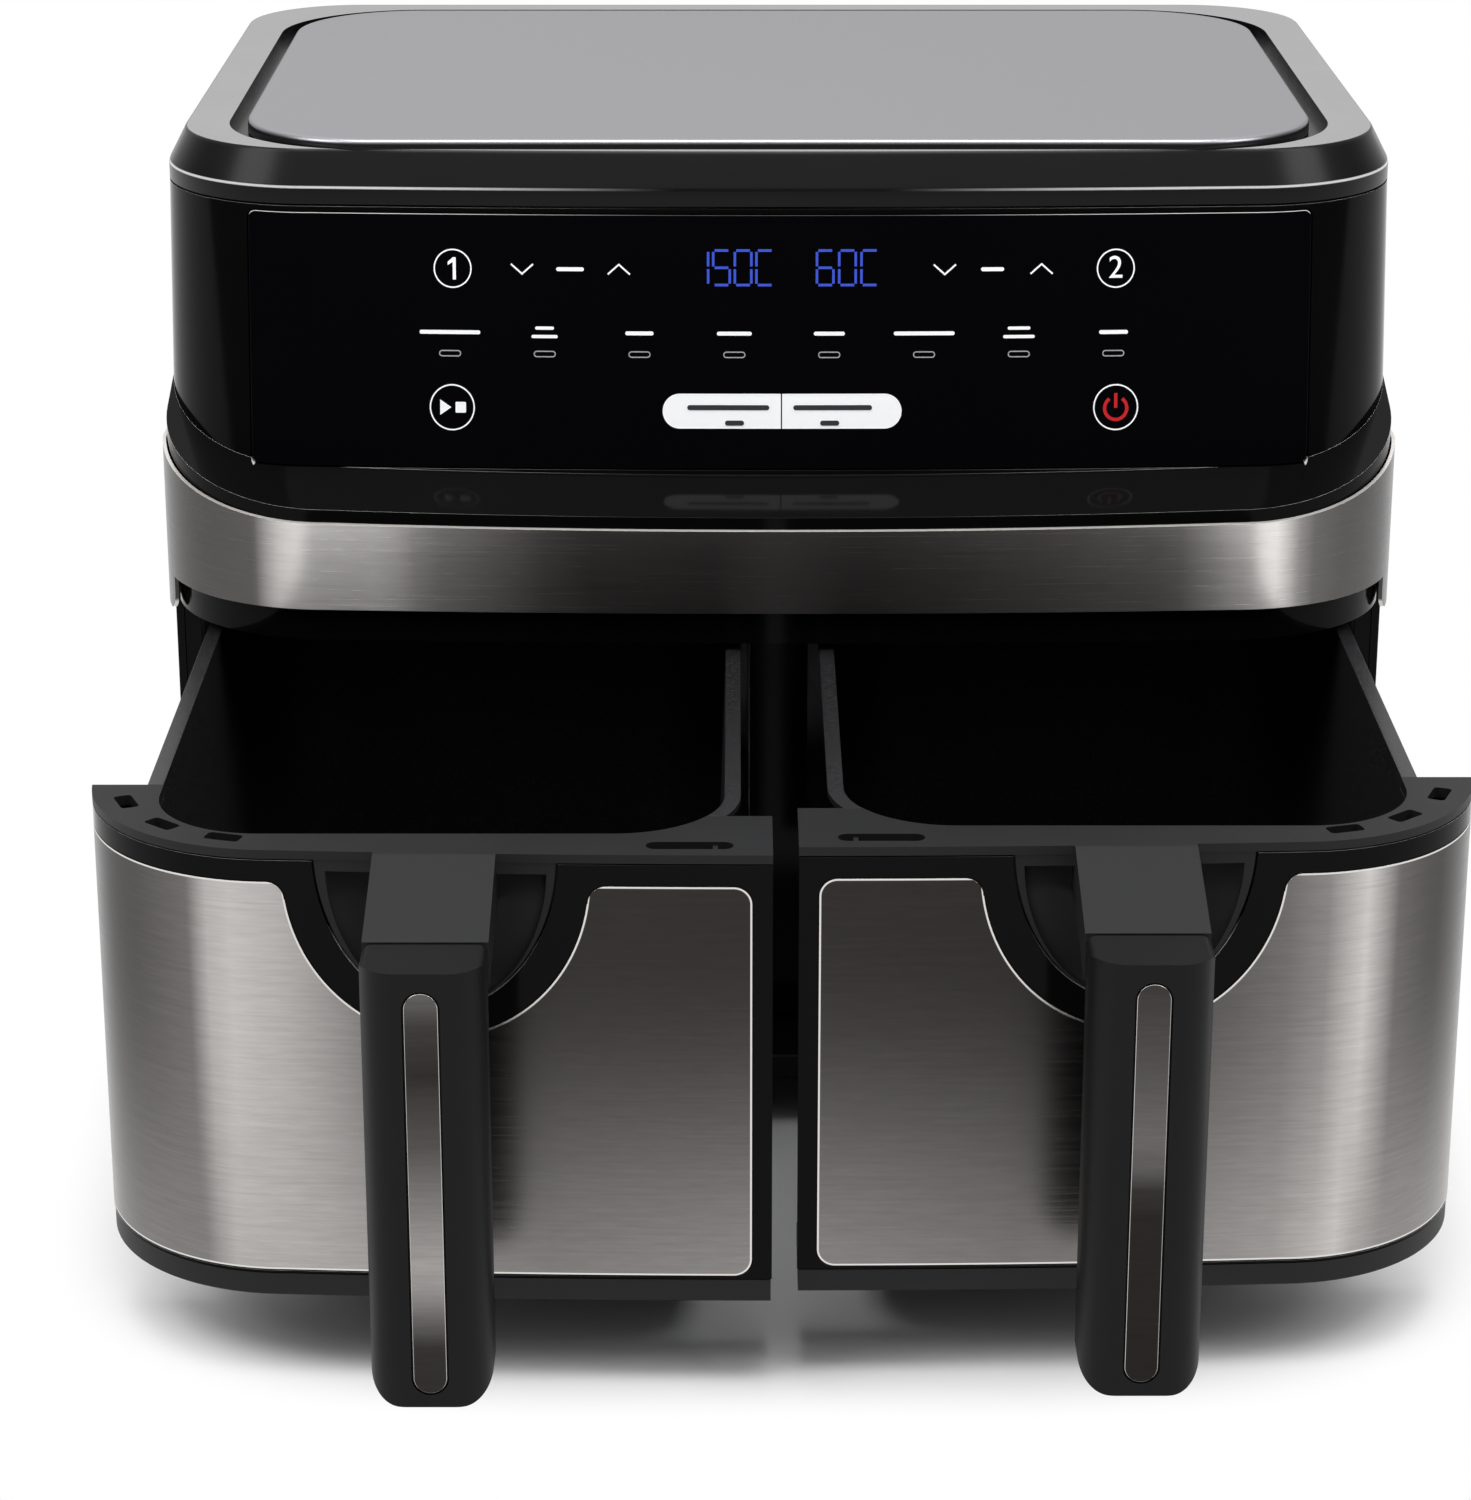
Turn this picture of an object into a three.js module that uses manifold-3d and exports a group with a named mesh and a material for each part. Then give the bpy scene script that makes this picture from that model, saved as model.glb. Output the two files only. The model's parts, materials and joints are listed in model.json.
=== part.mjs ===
import * as THREE from 'three';
import { mergeVertices } from 'three/addons/utils/BufferGeometryUtils.js';
import Module from 'manifold-3d';

// Air fryer with two drawers side by side. Millimetres, +Z up, +X to the right seen from the front.
// Every piece is drawn with the front of the steel band at y = 0 and the drawers shut. The drawer
// groups then slide forward, and the whole group moves so that its origin lies on the table under
// the middle of the object.

// ---------------------------------------------------------------- driving dimensions

// Body
const bodyWidth = 385;
const bodyDepth = 319;
const bodyTop = 303.7;
const cornerRadius = 55;
const upperCornerRadius = 50;
const backCornerRadius = 44;
const frontBow = 4;
const shellInset = 1.5;
const shellWall = 2.5;
const seamGap = 0.4;
const seamDepth = 106;

// Base and feet
const footRadius = 10;
const footInsetX = 42;
const footFrontY = 45;
const footBackInset = 44;
const baseBottom = 16;
const baseFloorTop = 24.2;

// Steel band and the lip under it
const bandThickness = 1.1;
const bandBottom = 170.7;
const bandTopFront = 196.6;
const bandTopSide = 211.2;
const bandSideBottom = 159.4;
const bandStepY = 38;
const bandLevelY = 52;
const bandEndInset = 34;
const lipBottom = 160.2;
const lipInset = 3.2;
const lipThickness = 2.5;
const mouthClearance = 2;
const postHalfWidth = 9;
const postFrontY = 32;
const jambWidth = 5;
const jambDepth = 3.4;

// Control housing, which leans back above a sloping ledge
const fasciaWall = 4;
const ledgeFrontY = 3;
const ledgeFrontZ = 201;
const ledgeBackY = 23;
const ledgeBackZ = 207.8;
const panelLean = 0.2;
const bezelHeight = 16.9;
const lensSideInset = 30.5;
const lensMargin = 1.8;
const lensThickness = 2;
const windowMargin = 8;

// Top
const bezelChamferDrop = 11.2;
const bezelChamferInset = 7.2;
const bezelLipDrop = 0.5;
const plateSideInset = 25.3;
const plateFrontY = 60.1;
const plateBackInset = 21.7;
const plateCornerRadius = 42;
const plateThickness = 1.2;
const plateRimHeight = 4.3;
const plateEdge = 0.8;
const grooveSide = 4.8;
const grooveFront = 12.3;
const grooveBack = 3.2;
const bezelFloorThickness = 3;

// Rear cover and cord gland
const rearCoverThickness = 5.6;
const rearCoverSideInset = 62.5;
const rearCoverBottom = 50;
const rearCoverTopInset = 41.7;
const rearCoverLap = 12;
const louvreCount = 9;
const louvreHeight = 4;
const louvreMiddleGap = 36;
const louvreEndGap = 28;
const glandSideInset = 54.5;
const glandZ = 45;
const glandFlangeRadius = 9;
const glandNeckRadius = 6;
const glandBoreRadius = 3.6;

// Cooking chambers
const chamberInnerX = 9.2;
const chamberSideRoom = 9.5;
const chamberBackRoom = 34.2;
const chamberTop = 203.8;
const chamberWall = 1;
const chamberMouthRoom = 3.2;
const runnerDrop = 5.6;
const runnerGap = 0.9;
const guardZ = 166;
const guardThickness = 1.4;
const ductHalfWidth = 24;
const ductWall = 1.2;
const ductBottom = 172;
const ductTop = 198;

// Heating, fans and motors
const elementRadius = 64;
const elementTube = 3.2;
const elementZ = 178;
const shaftRadius = 3;
const fanRadius = 52;
const fanBladeCount = 8;
const coolingFanRadius = 34;
const motorRadius = 29;
const motorHeight = 32;
const deckThickness = 2;
const runningGap = 0.5;
const elementLegGap = 18;

// Drawers
// How far each basket still reaches into its chamber while the drawer is stored part open.
const basketStillInside = { left: 37.4, right: 43.6 };
const drawerInnerX = 3.5;
const drawerTopGap = 2.4;
const drawerBottom = 26;
const rimThickness = 3;
const rimFaceHeight = 2.5;
const rimInnerEndDepth = 30;
const frameThickness = 2.5;
const frameBottom = 32.8;
const steelThickness = 0.8;
const steelPocket = 1.2;
const steelGap = 0.35;
const steelInnerX = 9;
const steelTopMargin = 9.1;
const steelCorner = 5;
const handleOffset = 4.3;
const notchHalfWidth = 41;
const notchDepth = 46;
const recessHalfWidth = 33;
const recessDepth = 45;
const scoopDepth = 9;
const carrierWall = 3;

// Basket and crisper plate
const basketInnerRoom = 7.3;
const basketOuterRoom = 10.5;
const basketFrontY = 16.5;
const basketBackRoom = 16.3;
const basketCorner = 30;
const basketWall = 1.2;
const basketFloor = 1.5;
const basketFloorRoom = 13.6;
const basketTaper = 0.955;
const flangeWidth = 4.5;
const flangeThickness = 1.8;
const crisperHeight = 14;
const crisperThickness = 1.6;
const crisperSkirt = 6;
const crisperClearance = 2.6;
const slotRows = 8;
const slotRanks = 4;
const slotMarginX = 14;
const slotMarginY = 22;
const slotBridge = 10;
const slotWidth = 7;
const crisperLegRadius = 3.5;
const crisperLegInsetX = 26;
const crisperLegInsetY = 30;
const eyeRadius = 9;
const eyeBoreRadius = 5;
const eyeHeight = 2.5;
const bumperGap = 0.35;
const bumperLength = 12;
const bumperHeight = 7;

// Handles
const neckHalfWidth = 16.4;
const neckLength = 36.5;
const neckDrop = 10;
const neckThickness = 13;
const gripHalfWidth = 16.25;
const gripDepth = 20.1;
const gripBottom = 24;
const inlayHalfWidth = 4.5;
const inlayBottom = 28;
const inlayTop = 142;
const inlayThickness = 1;

// Display and boards
const displayHalfWidth = 45;
const displayDepth = 8;
const displayHeight = 22;
const displayTopInset = 9;
const boardThickness = 1.6;
const boardSideInset = 44;
const boardBottomInset = 12.4;
const powerBoardHalfWidth = 50;
const powerBoardDepth = 58;
const powerBoardBackRoom = 43.5;
const powerBoardStandoff = 5;
const cutoutInset = 30.8;
const cutoutZ = 150;
const cutoutRadius = 9;
const sensorInset = 43;
const sensorBottom = 112;

// ---------------------------------------------------------------- values that follow from them

const halfWidth = bodyWidth / 2;
const drawerWrapDepth = cornerRadius;
const mouthDepth = drawerWrapDepth + mouthClearance;
const panelTop = bodyTop - bezelHeight;
const bezelBottom = panelTop + 0.6;
const bezelChamferBottom = bodyTop - bezelChamferDrop;
const lensHalfWidth = halfWidth - lensSideInset;
const lensBottom = ledgeBackZ + lensMargin;
const lensTop = panelTop - lensMargin;
const plateHalfWidth = halfWidth - plateSideInset;
const plateBackY = bodyDepth - plateBackInset;
const rearCoverHalfWidth = halfWidth - rearCoverSideInset;
const rearCoverTop = bodyTop - rearCoverTopInset;
const louvreLength = rearCoverHalfWidth - louvreMiddleGap / 2 - louvreEndGap;
const louvreX = (louvreMiddleGap + louvreLength) / 2;
const glandX = glandSideInset - halfWidth;
const drawerTop = lipBottom - drawerTopGap;
const steelTop = drawerTop - steelTopMargin;
const gripTop = drawerTop - neckDrop - 0.4;
const gripBackY = -neckLength - seamGap;
const gripReach = gripDepth - gripBackY;
const handleX = (drawerInnerX + halfWidth) / 2 - handleOffset;
const chamberOuterX = halfWidth - chamberSideRoom;
const chamberBackY = bodyDepth - chamberBackRoom;
const chamberMouthTop = drawerTop + chamberMouthRoom;
const basketInnerX = chamberInnerX + basketInnerRoom;
const basketOuterX = chamberOuterX - basketOuterRoom;
const basketBackY = chamberBackY - basketBackRoom;
const basketBottom = baseFloorTop + basketFloorRoom;
const basketHeight = drawerTop - basketBottom;
const basketCentreX = (basketInnerX + basketOuterX) / 2;
const basketCentreY = (basketFrontY + basketBackY) / 2;
const slotPitchX = (basketOuterX - basketInnerX - 2 * slotMarginX) / slotRanks;
const slotPitchY = (basketBackY - basketFrontY - 2 * slotMarginY) / slotRows;
const slotLength = slotPitchX - slotBridge;
const baseTop = baseFloorTop + seamGap;
const chamberBottom = baseTop;
const chamberFrontY = mouthDepth + jambDepth;
const drawerOpening = {
  left: basketBackY - chamberFrontY - basketStillInside.left,
  right: basketBackY - chamberFrontY - basketStillInside.right,
};
const chamberCentreX = (chamberInnerX + chamberOuterX) / 2;
const chamberCentreY = (chamberFrontY + chamberBackY) / 2;
const deckBottom = chamberTop + chamberWall + seamGap;
const deckTop = deckBottom + deckThickness;
const motorBottom = deckTop + seamGap;
const backWallY = bodyDepth - shellInset;
const ductX = chamberCentreX - 8;

// Longer than any piece, for the tools that cut right through.
const far = 500;

// ---------------------------------------------------------------- geometry helpers

const wasm = await Module();
wasm.setup();

function solid(geometry) {
  const bare = geometry.clone();
  bare.deleteAttribute('normal');
  bare.deleteAttribute('uv');
  const merged = mergeVertices(bare, 1e-4);
  const vertProperties = new Float32Array(merged.attributes.position.array);
  const triVerts = new Uint32Array(merged.index.array);
  return new wasm.Manifold(new wasm.Mesh({ numProp: 3, vertProperties, triVerts }));
}

function bufferGeometry(body) {
  const { vertProperties, triVerts } = body.getMesh();
  const geometry = new THREE.BufferGeometry();
  geometry.setAttribute('position', new THREE.BufferAttribute(new Float32Array(vertProperties), 3));
  geometry.setIndex(new THREE.BufferAttribute(new Uint32Array(triVerts), 1));
  geometry.computeVertexNormals();
  return geometry;
}

function join(...bodies) {
  return bodies.reduce((whole, body) => whole.add(body));
}

function cut(body, ...tools) {
  return tools.reduce((left, tool) => left.subtract(tool), body);
}

function point(x, y) {
  return new THREE.Vector2(x, y);
}

function arc(centreX, centreY, radiusX, radiusY, from, to, steps) {
  return Array.from({ length: steps + 1 }, (_, i) => {
    const angle = THREE.MathUtils.degToRad(from + ((to - from) * i) / steps);
    return point(centreX + radiusX * Math.cos(angle), centreY + radiusY * Math.sin(angle));
  });
}

function circle(centreX, centreY, radius, steps = 24) {
  return arc(centreX, centreY, radius, radius, 0, 360, steps).slice(1);
}

function roundedRect(x0, x1, y0, y1, radius, steps = 5) {
  return [
    ...arc(x1 - radius, y0 + radius, radius, radius, -90, 0, steps),
    ...arc(x1 - radius, y1 - radius, radius, radius, 0, 90, steps),
    ...arc(x0 + radius, y1 - radius, radius, radius, 90, 180, steps),
    ...arc(x0 + radius, y0 + radius, radius, radius, 180, 270, steps),
  ];
}

function rect(x0, x1, y0, y1) {
  return [point(x0, y0), point(x1, y0), point(x1, y1), point(x0, y1)];
}

// A prism on an outline in x and y, standing from z = from to z = to.
function upright(outline, from, to) {
  const geometry = new THREE.ExtrudeGeometry(new THREE.Shape(outline), {
    depth: to - from,
    bevelEnabled: false,
  });
  return geometry.translate(0, 0, from);
}

function column(outline, from, to) {
  return solid(upright(outline, from, to));
}

// A prism on an outline in x and z, running from y = from to y = to.
function throughDepth(outline, from, to) {
  return solid(upright(outline, -to, -from).rotateX(Math.PI / 2));
}

// A prism on an outline in y and z, running from x = from to x = to.
function acrossWidth(outline, from, to) {
  const axes = new THREE.Matrix4().makeBasis(
    new THREE.Vector3(0, 1, 0),
    new THREE.Vector3(0, 0, 1),
    new THREE.Vector3(1, 0, 0),
  );
  return solid(upright(outline, from, to).applyMatrix4(axes));
}

function block(x0, x1, y0, y1, z0, z1) {
  const geometry = new THREE.BoxGeometry(Math.abs(x1 - x0), y1 - y0, z1 - z0);
  return solid(geometry.translate((x0 + x1) / 2, (y0 + y1) / 2, (z0 + z1) / 2));
}

// A solid between two outlines with the same number of points, at two heights.
function loft(lower, zLower, upper, zUpper) {
  const count = lower.length;
  const positions = [
    ...lower.flatMap((p) => [p.x, p.y, zLower]),
    ...upper.flatMap((p) => [p.x, p.y, zUpper]),
  ];
  const caps = THREE.ShapeUtils.triangulateShape(lower, []);
  const index = caps.flatMap(([a, b, c]) => [c, b, a, a + count, b + count, c + count]);
  for (let i = 0; i < count; i += 1) {
    const next = (i + 1) % count;
    index.push(i, next, next + count, i, next + count, i + count);
  }
  const geometry = new THREE.BufferGeometry();
  geometry.setAttribute('position', new THREE.Float32BufferAttribute(positions, 3));
  geometry.setIndex(index);
  return solid(geometry);
}

// ---------------------------------------------------------------- finishes

function finish(color, roughness, metalness) {
  return new THREE.MeshStandardMaterial({ color, roughness, metalness });
}

const mattePlastic = finish(0x313235, 0.55, 0);
const glossPlastic = finish(0x0c0c0d, 0.12, 0);
const brushedSteel = finish(0xb4b4b2, 0.3, 1);
const satinSteel = finish(0xa6a6a9, 0.4, 1);
const touchLens = finish(0x060608, 0.05, 0);
const nonStick = finish(0x2b2c2e, 0.4, 0.2);
const rubber = finish(0x1c1c1c, 0.8, 0);
const galvanised = finish(0x9b9d9e, 0.45, 1);
const elementSteel = finish(0x4c4a48, 0.5, 0.9);
const silicone = finish(0x3a3a3c, 0.7, 0);
const aluminium = finish(0xb9babb, 0.4, 1);
const circuitBoard = finish(0x1f4a2c, 0.5, 0);
const bakelite = finish(0x2a2320, 0.5, 0);

const airFryer = new THREE.Group();

function place(name, body, material, parent = airFryer) {
  const mesh = new THREE.Mesh(bufferGeometry(body), material);
  mesh.name = name;
  parent.add(mesh);
  return mesh;
}

// ---------------------------------------------------------------- plan of the body

function bowAt(x) {
  return frontBow * (x / (halfWidth - cornerRadius)) ** 2;
}

function bowPoints(fromX, toX, front, steps) {
  return Array.from({ length: steps + 1 }, (_, i) => {
    const x = fromX + ((toX - fromX) * i) / steps;
    return point(x, front + bowAt(x));
  });
}

function bodyPlan(inset, front = 0, radius = cornerRadius) {
  const cornerX = halfWidth - radius;
  const cornerY = front + bowAt(cornerX) + radius;
  const backX = halfWidth - backCornerRadius;
  const backY = bodyDepth - backCornerRadius;
  const frontR = radius - inset;
  const backR = backCornerRadius - inset;
  return [
    ...bowPoints(-cornerX, cornerX, front + inset, 6).slice(1, -1),
    ...arc(cornerX, cornerY, frontR, frontR, -90, 0, 7),
    ...arc(backX, backY, backR, backR, 0, 90, 5),
    ...arc(-backX, backY, backR, backR, 90, 180, 5),
    ...arc(-cornerX, cornerY, frontR, frontR, 180, 270, 7),
  ];
}

function panelFrontAt(z) {
  return ledgeBackY + panelLean * (z - ledgeBackZ);
}

// The leaning upper body, `depthIn` millimetres inside its outer face.
function upperBody(depthIn, z0, z1) {
  const inset = shellInset + depthIn;
  const lower = bodyPlan(inset, panelFrontAt(z0) - shellInset, upperCornerRadius);
  const upper = bodyPlan(inset, panelFrontAt(z1) - shellInset, upperCornerRadius);
  return loft(lower, z0, upper, z1);
}

function bodyRing(outerInset, innerInset, z0, z1) {
  return cut(column(bodyPlan(outerInset), z0, z1), column(bodyPlan(innerInset), z0 - 1, z1 + 1));
}

// ---------------------------------------------------------------- base, feet and outer shell

place('base_pan', column(bodyPlan(shellInset), baseBottom, baseFloorTop), mattePlastic);

const footTop = baseBottom - seamGap;
for (const [side, sign] of [['left', -1], ['right', 1]]) {
  for (const [end, y] of [['front', footFrontY], ['rear', bodyDepth - footBackInset]]) {
    const foot = new THREE.CylinderGeometry(footRadius + 1.5, footRadius, footTop, 20).rotateX(Math.PI / 2);
    const mesh = place(`foot_${end}_${side}`, solid(foot), rubber);
    mesh.position.set(sign * (halfWidth - footInsetX), y, footTop / 2);
  }
}

function outerShell() {
  const wall = bodyRing(shellInset, shellInset + shellWall, baseTop, panelTop);
  const mouth = block(-far, far, -far, mouthDepth, baseTop - 1, bandBottom + seamGap);
  const fasciaRoom = block(-far, far, -far, seamDepth + seamGap, bandBottom, panelTop + 1);
  const openingHalf = rearCoverHalfWidth - rearCoverLap;
  const ventOpening = throughDepth(
    roundedRect(-openingHalf, openingHalf, rearCoverBottom + rearCoverLap, rearCoverTop - rearCoverLap, 6),
    backWallY - shellWall - 1,
    backWallY + 1,
  );
  const glandHole = throughDepth(
    circle(glandX, glandZ, glandNeckRadius + seamGap),
    backWallY - shellWall - 2,
    backWallY + 1,
  );
  return cut(wall, mouth, fasciaRoom, ventOpening, glandHole);
}

place('outer_shell', outerShell(), glossPlastic);

function rearCover() {
  const front = backWallY + seamGap;
  const outline = roundedRect(
    -rearCoverHalfWidth, rearCoverHalfWidth, rearCoverBottom, rearCoverTop, 10);
  let cover = throughDepth(outline, front, front + rearCoverThickness);
  const pitch = (rearCoverTop - rearCoverBottom - 4 * rearCoverLap) / (louvreCount - 1);
  for (let i = 0; i < louvreCount; i += 1) {
    const z = rearCoverBottom + 2 * rearCoverLap + i * pitch;
    for (const sign of [-1, 1]) {
      const slot = rect(
        sign * louvreX - louvreLength / 2, sign * louvreX + louvreLength / 2,
        z - louvreHeight / 2, z + louvreHeight / 2);
      cover = cut(cover, throughDepth(slot, front - 1, front + rearCoverThickness + 1));
    }
  }
  return cover;
}

place('rear_cover', rearCover(), mattePlastic);

function cordGland() {
  const flange = throughDepth(circle(glandX, glandZ, glandFlangeRadius), backWallY + seamGap, backWallY + 5);
  const neck = throughDepth(circle(glandX, glandZ, glandNeckRadius), backWallY - 6, backWallY + 5);
  const bore = throughDepth(circle(glandX, glandZ, glandBoreRadius, 12), backWallY - 7, backWallY + 6);
  return cut(join(flange, neck), bore);
}

place('cord_gland', cordGland(), rubber);

// ---------------------------------------------------------------- drawer mouth and steel band

function mouthFrame() {
  const lipTop = bandBottom - 0.3;
  const lipBack = lipInset + lipThickness;
  const insideShell = shellInset + shellWall + seamGap;
  const aheadOf = (y) => block(-far, far, -far, y, 0, far);
  const lip = bodyRing(lipInset, lipBack, lipBottom, lipTop);
  const overhang = column(bodyPlan(lipInset), lipBottom, lipBottom + lipThickness);
  const ceiling = column(bodyPlan(insideShell), lipBottom, lipBottom + lipThickness);
  const head = join(
    join(lip, overhang).intersect(aheadOf(mouthDepth - seamGap)),
    ceiling.intersect(aheadOf(chamberFrontY - seamGap)),
  );
  const post = block(
    -postHalfWidth, postHalfWidth, postFrontY, chamberFrontY - seamGap, baseTop, lipBottom + 1);
  const jambOuter = halfWidth - insideShell;
  const jambs = [-1, 1].map((sign) => block(
    sign * (jambOuter - jambWidth), sign * jambOuter,
    mouthDepth - 0.8, chamberFrontY - seamGap, baseTop, lipBottom + 1));
  return join(head, post, ...jambs);
}

place('mouth_frame', mouthFrame(), mattePlastic);

function steelBand() {
  const bandEnd = bodyDepth - bandEndInset;
  const rise = (bandTopSide - bandTopFront) / bandLevelY;
  const profile = [
    point(-10, bandBottom),
    point(bandStepY, bandBottom),
    ...arc(bandStepY + 6, bandSideBottom + 6, 6, 6, 180, 270, 4),
    ...arc(bandEnd - 8, bandSideBottom + 8, 8, 8, -90, 0, 4),
    ...arc(bandEnd - 8, bandTopSide - 8, 8, 8, 0, 90, 4),
    point(bandLevelY, bandTopSide),
    point(-10, bandTopFront - 10 * rise),
  ];
  return bodyRing(0, bandThickness, bandSideBottom - 1, bandTopSide + 1)
    .intersect(acrossWidth(profile, -far, far));
}

place('steel_band', steelBand(), brushedSteel);

// ---------------------------------------------------------------- control housing and lens

const ledgeSlope = (ledgeBackZ - ledgeFrontZ) / (ledgeBackY - ledgeFrontY);

function aboveLedge(drop) {
  const heightAt = (y) => ledgeFrontZ + ledgeSlope * (y - ledgeFrontY) - drop;
  return acrossWidth(
    [point(-20, heightAt(-20)), point(far, heightAt(far)), point(far, far), point(-20, far)], -far, far);
}

function lensOutline(margin) {
  return roundedRect(
    -lensHalfWidth - margin, lensHalfWidth + margin, lensBottom - margin, lensTop + margin, 2.5, 3);
}

function controlHousing() {
  const skirtBottom = bandBottom + seamGap;
  const foot = cut(column(bodyPlan(shellInset), skirtBottom, far), aboveLedge(0));
  const footRoom = column(bodyPlan(shellInset + fasciaWall), skirtBottom - 1, far);
  const footInside = cut(footRoom, aboveLedge(fasciaWall));
  const upper = upperBody(0, ledgeFrontZ - 3, panelTop);
  const upperInside = upperBody(fasciaWall, ledgeFrontZ - 12, panelTop + 2);
  const lensSeat = lensThickness + seamGap;
  const pocketRoom = throughDepth(lensOutline(seamGap), -20, 80);
  const pocket = cut(pocketRoom, upperBody(lensSeat, lensBottom - 9, lensTop + 9));
  const window = throughDepth(lensOutline(-windowMargin), -20, 80);
  const behindSeam = block(-far, far, seamDepth, far, 0, far);
  return cut(join(foot, upper), footInside, upperInside, pocket, window, behindSeam);
}

place('control_housing', controlHousing(), glossPlastic);

function controlLens() {
  const skin = cut(
    upperBody(0, lensBottom - 8, lensTop + 1.5),
    upperBody(lensThickness, lensBottom - 9, lensTop + 2.5),
  );
  return skin.intersect(throughDepth(lensOutline(0), -20, 80));
}

place('control_lens', controlLens(), touchLens);

// ---------------------------------------------------------------- top bezel and top plate

const bezelFront = panelFrontAt(bezelBottom) - shellInset;

function topBezel() {
  const lipZ = bodyTop - bezelLipDrop;
  const lowerPlan = bodyPlan(shellInset, bezelFront, upperCornerRadius);
  const upperPlan = bodyPlan(bezelChamferInset, bezelFront, upperCornerRadius);
  const outside = join(
    column(lowerPlan, bezelBottom, bezelChamferBottom),
    loft(lowerPlan, bezelChamferBottom, upperPlan, lipZ),
  );
  const floorTop = bodyTop - plateRimHeight - seamGap;
  const floorBottom = floorTop - bezelFloorThickness;
  const tray = column(
    roundedRect(
      -plateHalfWidth - grooveSide, plateHalfWidth + grooveSide,
      plateFrontY - grooveFront, plateBackY + grooveBack, plateCornerRadius + grooveSide, 8),
    floorTop, far);
  const underside = column(
    bodyPlan(shellInset + 5, bezelFront, upperCornerRadius), bezelBottom - 1, floorBottom);
  return cut(outside, tray, underside);
}

place('top_bezel', topBezel(), mattePlastic);

function topPlate() {
  const bottom = bodyTop - plateRimHeight;
  const outline = (inset) => roundedRect(
    -plateHalfWidth + inset, plateHalfWidth - inset,
    plateFrontY + inset, plateBackY - inset, plateCornerRadius - inset, 8);
  const sheet = join(
    column(outline(0), bottom, bodyTop - plateEdge),
    loft(outline(0), bodyTop - plateEdge, outline(plateEdge), bodyTop),
  );
  return cut(sheet, column(outline(plateThickness), bottom - 1, bodyTop - plateThickness));
}

place('top_plate', topPlate(), satinSteel);

// ---------------------------------------------------------------- cooking chambers

function span(sign, inner, outer) {
  return sign > 0 ? [inner, outer] : [-outer, -inner];
}

function elementLegs(sign, radius, z0, z1) {
  const y = chamberCentreY + elementRadius;
  return [-1, 1].map((leg) => column(
    circle(sign * chamberCentreX + (leg * elementLegGap) / 2, y, radius, 12), z0, z1));
}

function chamberLiner(sign) {
  const box = (grow, z0, z1, y0, y1) => {
    const [x0, x1] = span(sign, chamberInnerX - grow, chamberOuterX + grow);
    return block(x0, x1, y0, y1, z0, z1);
  };
  const floorTop = chamberBottom + chamberWall;
  const roof = chamberTop + chamberWall;
  const outside = box(chamberWall, chamberBottom, roof, chamberFrontY, chamberBackY + chamberWall);
  const cavity = box(0, floorTop, chamberTop, chamberFrontY + chamberWall, chamberBackY);
  const mouth = box(0, floorTop, chamberMouthTop, chamberFrontY - 1, chamberFrontY + 5);
  const shaftHole = column(
    circle(sign * chamberCentreX, chamberCentreY, shaftRadius + 2), chamberTop - 1, chamberTop + 5);
  const legHoles = elementLegs(sign, elementTube + runningGap, chamberTop - 1, chamberTop + 5);
  const [d0, d1] = span(sign, ductX - ductHalfWidth + 2, ductX + ductHalfWidth - 2);
  const outlet = block(d0, d1, chamberBackY - 1, chamberBackY + 5, ductBottom + 2, ductTop - 2);
  const flangeBottom = drawerTop - flangeThickness;
  const railTop = flangeBottom - seamGap;
  const bodyInner = basketInnerX - basketWall;
  const bodyOuter = basketOuterX + basketWall;
  const rail = (inner, outer) => {
    const [x0, x1] = span(sign, inner, outer);
    return block(x0, x1, chamberFrontY + 2, chamberBackY + 0.5, railTop - runnerDrop, railTop);
  };
  const rails = [
    rail(chamberInnerX - 0.5, bodyInner - runnerGap),
    rail(bodyOuter + runnerGap, chamberOuterX + 0.5),
  ];
  return cut(join(cut(outside, cavity, mouth), ...rails), shaftHole, ...legHoles, outlet);
}

function heaterGuard(sign) {
  const [x0, x1] = span(sign, chamberInnerX + seamGap, chamberOuterX - seamGap);
  const y0 = chamberFrontY + chamberWall + seamGap;
  const y1 = chamberBackY - seamGap;
  let guard = block(x0, x1, y0, y1, guardZ, guardZ + guardThickness);
  const border = 12;
  const slots = 11;
  const pitch = (y1 - y0 - 2 * border) / slots;
  const middle = (x0 + x1) / 2;
  for (let i = 0; i < slots; i += 1) {
    const y = y0 + border + (i + 0.5) * pitch;
    const slotHalf = pitch * 0.34;
    for (const [a, b] of [[x0 + border, middle - 3], [middle + 3, x1 - border]]) {
      guard = cut(guard, block(a, b, y - slotHalf, y + slotHalf, guardZ - 1, guardZ + 3));
    }
  }
  return guard;
}

function exhaustDuct(sign) {
  const [x0, x1] = span(sign, ductX - ductHalfWidth, ductX + ductHalfWidth);
  const front = chamberBackY + chamberWall + seamGap;
  const inside = block(
    x0 + ductWall, x1 - ductWall, front - 1, backWallY + 1, ductBottom + ductWall, ductTop - ductWall);
  return cut(block(x0, x1, front, backWallY, ductBottom, ductTop), inside);
}

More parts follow.
